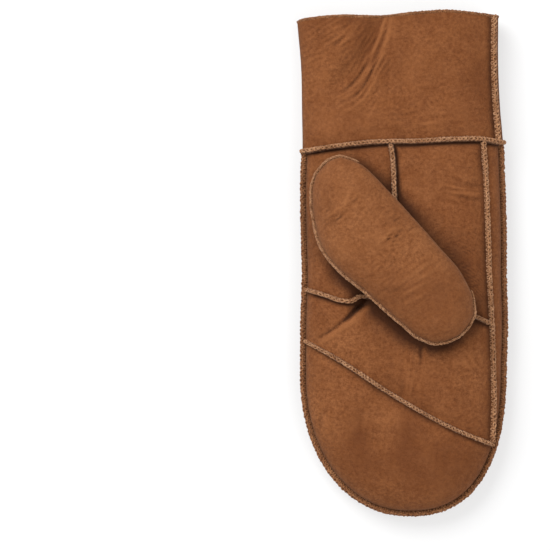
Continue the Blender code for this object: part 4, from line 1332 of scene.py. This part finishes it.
def palm_panels():
    below_join, _ = both_sides(JOIN_PALM, palm_height)
    below_cross, above_cross = both_sides(CROSS_PALM, palm_height)
    below_diagonal, above_diagonal = both_sides(DIAGONAL, palm_height)
    centre_thumb_side, centre_outer_side = both_sides(CENTRE_PALM, palm_height)
    strip_inside, strip_outside = both_sides(STRIP, palm_height)
    plans = {
        "heel_thumb_side": four_sided(below_join, above_cross, RIM_INSIDE, centre_thumb_side),
        "heel_outer_side": four_sided(below_join, above_cross, centre_outer_side, strip_inside),
        "palm_middle": four_sided(below_cross, above_diagonal, RIM_INSIDE, strip_inside),
        "side_strip": four_sided(below_join, above_diagonal, strip_outside, RIM_INSIDE),
        "fingertip": crescent(below_diagonal),
    }

    def relief(flat):
        return palm_depth(flat, edge_share(flat, HAND_EDGES, PALM_ROLL / 4), PALM_GROOVES), -1

    surface = Surface(
        relief,
        # painted shade beside the palm's seams and edge seam, and painted shadow beside the thumb
        lambda flat: shaded(flat, PALM_GROOVES) + under_thumb(flat),
        lambda flat: brushed_and_shaded(flat, PALM_PATCHES),
    )
    for name, plan in plans.items():
        tone = NUBUCK_STRIP if name == "side_strip" else NUBUCK
        hide(name, [(lifted(plan, palm_height), True)], flat_surface(surface), tone)


def back_panels():
    below_join, _ = both_sides(JOIN_BACK, back_height)
    below_cross, above_cross = both_sides(CROSS_BACK, back_height)
    centre_thumb_side, centre_outer_side = both_sides(CENTRE_BACK, back_height)
    plans = {
        "back_upper_thumb_side": four_sided(below_join, above_cross, RIM_INSIDE, centre_thumb_side),
        "back_upper_outer_side": four_sided(below_join, above_cross, centre_outer_side, RIM_INSIDE),
        "back_lower_thumb_side": three_sided(below_cross, RIM_INSIDE, centre_thumb_side),
        "back_lower_outer_side": three_sided(below_cross, centre_outer_side, RIM_INSIDE),
    }

    def relief(flat):
        return back_depth(flat, edge_share(flat, HAND_EDGES, BACK_ROLL / 4), BACK_GROOVES), 1

    surface = Surface(
        relief,
        lambda flat: shaded(flat, BACK_GROOVES),
        lambda flat: brushed_and_shaded(flat, BACK_PATCHES),
    )
    for name, plan in plans.items():
        hide(name, [(lifted(plan, back_height), False)], flat_surface(surface), NUBUCK)


def edge_seam(node, line, heights, **looks):
    """A seam on an edge, which stands out to the right of its line and a little up."""
    level = -sideways(line) * math.cos(EDGE_TILT)
    out = np.column_stack([level, np.full(len(line), math.sin(EDGE_TILT))])
    seam(node, np.column_stack([line, heights]), out, **looks)


def hand_seams():
    laid_seam("palm_centre_seam", CENTRE_SEWN, palm_height, 1, 0.95, 1)
    laid_seam("palm_cross_seam", CROSS_SEWN, palm_height, 1, 0.85, 2)
    laid_seam("palm_diagonal_seam", inside(DIAGONAL, RIM, RIM), palm_height, 1, 0.80, 3)
    laid_seam("strip_palm_seam", STRIP_SEWN, palm_height, 1, 0.95, 4)
    laid_seam("back_cross_seam", inside(CROSS_BACK, RIM, RIM), back_height, -1, 0.90, 5)
    laid_seam("back_centre_seam_upper", BACK_UPPER_SEWN, back_height, -1, 0.90, 6)
    laid_seam("back_centre_seam_lower", BACK_LOWER_SEWN, back_height, -1, 0.90, 7)
    first, last = meet(RIM, JOIN_PALM)[0], meet(RIM, JOIN_PALM, last=True)[0]
    corner = meet(RIM, DIAGONAL, last=True)[0]
    for node, start, end, seed in (
        ("edge_seam", first + END_GAP, corner, 8),
        ("strip_back_seam", corner, last - END_GAP, 9),
    ):
        line = stretch(RIM, start, end)
        # the edge seams take the tan thread darkened with painted shade, as they are seen from the side
        edge_seam(node, line, np.full(len(line), EDGE_HEIGHT), thread=SHADED_THREAD, seed=seed)


# The cuff


def mouth_trim(x):
    """How far the leather's edge lies inside the mouth's line, more at the thumb side's corner."""
    toward_corner = np.clip((-x / HAND_HALF - 0.3) / 0.7, 0, 1)
    at_corner = np.exp(-(((x + 1.03 * HAND_HALF) / CORNER_WIDTH) ** 2))
    return MOUTH_TRIM + CORNER_TRIM * toward_corner**2 + CORNER_DRAW * at_corner


def cuff_grid(shares, ups, palm_side, low_gap, high_gap):
    """Points of the cuff. Shares of its width make the columns, and shares of its length make the rows."""
    join, mouth = (JOIN_PALM, MOUTH_PALM) if palm_side else (JOIN_BACK, MOUTH_BACK)
    x = (2 * shares - 1) * HAND_HALF
    low = np.interp(x, join[:, 0], join[:, 1]) + low_gap
    high = np.interp(x, mouth[:, 0], mouth[:, 1]) - high_gap - mouth_trim(x)
    y = low[None] + (high - low)[None] * ups[:, None]
    left = np.interp(y, CUFF_THUMB_SIDE[:, 1], CUFF_THUMB_SIDE[:, 0])
    right = np.interp(y, CUFF_OUTER_SIDE[:, 1], CUFF_OUTER_SIDE[:, 0])
    plan = np.stack([left + (right - left) * shares[None], y], axis=-1)
    return lifted(plan, cuff_height_palm if palm_side else cuff_height_back)


def cuff_relief(points):
    """The palm side's and the back's relief, each on its own half of the wrapped cuff."""
    flat = points[:, :2]
    above = points[:, 2] > EDGE_HEIGHT
    share = edge_share(flat, CUFF_EDGES, PALM_ROLL / 4)
    depth = np.zeros(len(points))
    depth[above] = palm_depth(flat[above], share[above], CUFF_GROOVES)
    depth[~above] = back_depth(flat[~above], share[~above], BACK_GROOVES[:1])
    return depth, np.where(above, -1, 1)


def cuff_brushed_and_shaded(points):
    above = points[:, 2] > EDGE_HEIGHT
    return np.where(above, brushed_and_shaded(points[:, :2], PALM_PATCHES), brushed_and_shaded(points[:, :2], BACK_PATCHES))


CUFF_SEAM_SHARE = 1 - CUFF_SEAM_INSET / (2 * HAND_HALF)
CUFF_SEAM_PATH = cuff_grid(np.array([CUFF_SEAM_SHARE]), np.linspace(-0.02, 1.02, 60), True, 0.0, 0.0)[:, 0]
CUFF_GROOVES = [PALM_GROOVES[0], Groove(CUFF_SEAM_PATH[:, :2], 0.55, 0.15)]


def cuff():
    """The cuff, wrapped once round from its side seam over the palm side, under the back and up again."""
    width = 2 * HAND_HALF
    half_slot = PANEL_GAP * 0.5 / width
    over = (CUFF_SEAM_SHARE - half_slot) * sizes_between(width, ROLL_CELL, SEAM_CELL)[::-1]
    under = sizes_between(width, ROLL_CELL, ROLL_CELL)[1:]
    rest = 1 - (1 - CUFF_SEAM_SHARE - half_slot) * sizes_between(CUFF_SEAM_INSET, ROLL_CELL, SEAM_CELL)[1:]
    ups = sizes_between(CUFF_LENGTH, SEAM_CELL, SEAM_CELL)[::-1]
    gaps = (PANEL_GAP, HEM_RADIUS * 0.8)
    grid = np.hstack(
        [
            cuff_grid(over, ups, True, *gaps),
            cuff_grid(under, ups, False, *gaps),
            cuff_grid(rest, ups, True, *gaps),
        ]
    )

    # painted shade beside the cuff's seams and folded sides
    def shade(points):
        return shaded(points[:, :2], CUFF_GROOVES, CUFF_EDGES)

    hide("cuff", [(grid, False)], Surface(cuff_relief, shade, cuff_brushed_and_shaded), NUBUCK)


def cuff_ring(up, low_gap, high_gap):
    """A closed loop round the cuff, from its little finger's side over the palm side and back under."""
    turn = (1 - np.cos(np.linspace(0, math.pi, 140))) / 2
    ups = np.array([up])
    over = cuff_grid(turn[::-1], ups, True, low_gap, high_gap)[0]
    under = cuff_grid(turn[1:-1], ups, False, low_gap, high_gap)[0]
    return np.vstack([over, under])


def cuff_seams():
    loop = cuff_ring(0.0, 0.0, 0.0)
    seam("cuff_hand_seam", loop, ring_out(loop), closed=True, scale=0.9, seed=10)
    hem = cuff_ring(1.0, 0.0, HEM_RADIUS * 0.6)
    out = ring_out(hem)
    hem = hem - out * HEM_RADIUS * 0.6
    hem[:, 2] = np.maximum(hem[:, 2], HEM_RADIUS * 0.7)
    mouthward = out + np.array([0.0, 1.0, 0.0])
    # the hem takes the same thread darkened with painted shade
    seam("mouth_hem", hem, mouthward, thread=SHADED_THREAD, closed=True, scale=0.64, seed=11)
    end = lengths_along(CUFF_SEAM_PATH)[-1] - HEM_RADIUS
    inner = points_at(CUFF_SEAM_PATH, np.linspace(END_GAP, end, 120))
    side_out = normals_on(inner[:, :2], cuff_height_palm, 1)
    seam("cuff_side_seam", inner, side_out, seed=12)


def ring_out(loop):
    """The direction out of the cuff at each point of a loop round it."""
    along = np.roll(loop, -1, axis=0) - np.roll(loop, 1, axis=0)
    out = np.cross(along, np.array([0.0, 1.0, 0.0]))
    out /= np.linalg.norm(out, axis=1)[:, None]
    away = loop - np.array([0.0, 0.0, EDGE_HEIGHT + 0.002])
    sign = np.sign((out * away * (0.3, 0, 1)).sum(1).mean())
    return out * sign


# The thumb


THUMB_START = np.array(hand_point(THUMB_ROOT))
THUMB_WAY = np.array([math.cos(THUMB_TURN), math.sin(THUMB_TURN)])
TOWARD_FOLD = np.array([-THUMB_WAY[1], THUMB_WAY[0]])


def thumb_plan(along, offset):
    """A point in plan from a length along the thumb and an offset toward its folded side."""
    return THUMB_START + np.multiply.outer(along, THUMB_WAY) + np.multiply.outer(offset, TOWARD_FOLD)


def share_of_thumb(points):
    """How far along the thumb a point in plan lies, as a share of the thumb's length."""
    return (points - THUMB_START) @ THUMB_WAY / THUMB_LENGTH


def thumb_point(at):
    return thumb_plan(at.along * THUMB_LENGTH, at.across * THUMB_WIDTH)


def thumb_outline(shares, inset):
    """The thumb's seam side and folded side in plan, both from root to tip, moved in by an inset."""
    rows = len(shares) - 1
    seam_side, fold_side = (
        thumb_plan(shares * THUMB_LENGTH, read_table(THUMB_SECTIONS, "along", name, shares) * THUMB_WIDTH)
        for name in ("seam_side", "fold_side")
    )
    loop = np.vstack([seam_side, fold_side[-2:0:-1]])
    along = np.roll(loop, -1, axis=0) - np.roll(loop, 1, axis=0)
    along /= np.linalg.norm(along, axis=1)[:, None]
    loop = loop + inset * np.stack([-along[:, 1], along[:, 0]], axis=1)
    return loop[: rows + 1], np.vstack([loop[0], loop[: rows - 1 : -1]])


def thumb_depth(points):
    return THUMB_THICKNESS * read_table(THUMB_DEPTHS, "along", "depth", share_of_thumb(points))


def thumb_rim_height(points):
    """Height of the thumb's edge, which lies over the palm with a small gap under the thumb."""
    return palm_base(points) + THUMB_CLEARANCE + THUMB_RIM_SHARE * thumb_depth(points)


def thumb_leaf(top):
    """The outer face of the thumb's upper or lower half, with the thumb's outline."""
    even = (1 - np.cos(np.linspace(0, math.pi, 150))) / 2
    seam_side, fold_side = thumb_outline(even, THUMB_SEAM_INSET)
    columns = sizes_between(THUMB_WIDTH * 1.2, ROLL_CELL, ROLL_CELL)
    plan = seam_side[:, None] + (fold_side - seam_side)[:, None] * columns[None, :, None]
    flat = plan.reshape(-1, 2)
    rim, depth = thumb_rim_height(flat), thumb_depth(flat)
    width, part = (THUMB_ROLL, 1 - THUMB_RIM_SHARE) if top else (THUMB_FLAT_ROLL, -THUMB_RIM_SHARE)
    share = edge_share(flat, [seam_side, fold_side], width)
    grid = np.column_stack([flat, rim + part * depth * share]).reshape(*plan.shape[:2], 3)
    return grid, [seam_side, fold_side]


def thumb():
    top, edges = thumb_leaf(True)
    bottom, _ = thumb_leaf(False)

    def relief(points):
        flat = points[:, :2]
        share = edge_share(flat, edges, THUMB_ROLL / 3)
        deep = creased(flat, THUMB_CREASES, thumb_point) + wrinkled(flat, THUMB_WRINKLES, thumb_point)
        upper = points[:, 2] > thumb_rim_height(flat)
        return np.where(upper, share * (deep + uneven(flat)), 0.0), -1

    # painted shade beside the thumb's seam
    def shade(points):
        return THUMB_RIM_SHADE * np.exp(-((distance_to(points[:, :2], edges[0]) / RIM_SHADE_REACH) ** 2))

    surface = Surface(relief, shade, lambda points: brushed_and_shaded(points[:, :2], THUMB_PATCHES, thumb_point))
    tuck_ends(hide("thumb", [(top, True), (bottom, False)], surface, NUBUCK_THUMB).data)


def tuck_ends(mesh):
    """Draws the thumb's inner face in at both ends, where its outline is tight, toward the thumb's middle."""
    points = vertices_of(mesh)
    count = len(points) // 2
    outer = points[:count]
    along = share_of_thumb(outer[:, :2])
    ends = (along < 0.05) | (along > 0.95)
    shares = np.clip(along[ends], 0.08, 0.92)
    offsets = [read_table(THUMB_SECTIONS, "along", name, shares) for name in ("seam_side", "fold_side")]
    middle = thumb_plan(shares * THUMB_LENGTH, np.mean(offsets, axis=0) * THUMB_WIDTH)
    heart = np.column_stack([middle, thumb_rim_height(middle)])
    way = heart - outer[ends]
    way /= np.linalg.norm(way, axis=1)[:, None]
    points[count : 2 * count][ends] = outer[ends] + way * WALL
    mesh.vertices.foreach_set("co", points.ravel())


def thumb_seam():
    even = (1 - np.cos(np.linspace(0, math.pi, 240))) / 2
    seam_side, fold_side = thumb_outline(even, 0.0)
    total = lengths_along(fold_side)[-1]
    head = stretch(fold_side, THUMB_SEAM_START * total, 0.0)
    tail = stretch(fold_side, total, THUMB_SEAM_END * total)
    line = np.vstack([head[:-1], seam_side, tail[1:]])
    line = points_at(line, np.linspace(0, lengths_along(line)[-1], 260))
    edge_seam("thumb_seam", line, thumb_rim_height(line), scale=0.60, taper=THUMB_SEAM_TAPER, seed=14)


# Finishes in use
MOTTLED_HIDE = mottled_hide()
NAP_GRAIN = nap_grain()
NUBUCK = nubuck("nubuck", (0.214, 0.074, 0.0230), (0.284, 0.106, 0.036), (0.112, 0.033, 0.0090))
NUBUCK_THUMB = nubuck("nubuck_thumb", (0.230, 0.083, 0.0275), (0.300, 0.118, 0.042), (0.128, 0.040, 0.0115))
NUBUCK_STRIP = nubuck("nubuck_strip", (0.205, 0.070, 0.0215), (0.262, 0.096, 0.033), (0.115, 0.034, 0.0095))
FLEECE = fleece()
THREAD = thread("tan_thread", (0.48, 0.240, 0.110), (0.84, 0.515, 0.300), (0.130, 0.044, 0.013))
# a darker copy of the tan thread: painted shade on the edge seams, seen from the side, and on the mouth's hem
SHADED_THREAD = thread("shaded_thread", (0.35, 0.148, 0.057), (0.56, 0.290, 0.140), (0.110, 0.034, 0.009))
CUT_EDGE = cut_edge()

palm_panels()
back_panels()
hand_seams()
cuff()
cuff_seams()
thumb()
thumb_seam()


# Floor, light and camera

VIEW_MIDDLE = (-0.0700, -0.0063)  # what the picture has at its middle
VIEW_WIDTH = 0.3025  # and the width that it takes in, at the height of the mitten's outline
SILHOUETTE_HEIGHT = 0.013
VIEW_HEIGHT = 2.0  # the camera looks straight down from this far above the outline
SENSOR = 36.0


def floor():
    """A white table that is lit from below, so that the shadows on it stay pale."""
    mesh = bpy.data.meshes.new("floor")
    bm = bmesh.new()
    bmesh.ops.create_grid(bm, x_segments=1, y_segments=1, size=3.0)
    bm.to_mesh(mesh)
    bm.free()
    obj = bpy.data.objects.new("floor", mesh)
    made = bpy.data.materials.new("white_paper")
    made.use_nodes = True
    paper = made.node_tree.nodes["Principled BSDF"]
    paper.inputs["Base Color"].default_value = (0.36, 0.36, 0.36, 1.0)
    paper.inputs["Roughness"].default_value = 0.9
    paper.inputs["Emission Color"].default_value = (1.0, 1.0, 1.0, 1.0)
    paper.inputs["Emission Strength"].default_value = 0.55
    mesh.materials.append(made)
    bpy.context.scene.collection.objects.link(obj)


def soft_light(name, place, size, power):
    """A round lamp that faces the middle of the mitten."""
    data = bpy.data.lights.new(name, "AREA")
    data.shape = "DISK"
    data.size = size
    data.energy = power
    obj = bpy.data.objects.new(name, data)
    obj.location = place
    obj.rotation_euler = (-Vector(place)).to_track_quat("-Z", "Y").to_euler()
    bpy.context.scene.collection.objects.link(obj)


def studio():
    """A pale room, with one large lamp over the thumb side's corner of the cuff and a softer one opposite."""
    world = bpy.data.worlds.new("studio")
    world.use_nodes = True
    background = world.node_tree.nodes["Background"]
    background.inputs["Color"].default_value = (1.0, 1.0, 1.0, 1.0)
    background.inputs["Strength"].default_value = 0.48
    bpy.context.scene.world = world
    soft_light("key", (-0.75, 0.85, 1.15), 1.30, 28.0)
    soft_light("fill", (0.9, -0.8, 1.6), 1.8, 19.5)
    bpy.context.scene.view_settings.view_transform = "Standard"


def camera():
    data = bpy.data.cameras.new("camera")
    data.sensor_width = SENSOR
    data.lens = SENSOR * VIEW_HEIGHT / VIEW_WIDTH
    data.clip_end = 20.0
    obj = bpy.data.objects.new("camera", data)
    obj.location = (*VIEW_MIDDLE, SILHOUETTE_HEIGHT + VIEW_HEIGHT)
    bpy.context.scene.collection.objects.link(obj)
    bpy.context.scene.camera = obj


floor()
studio()
camera()
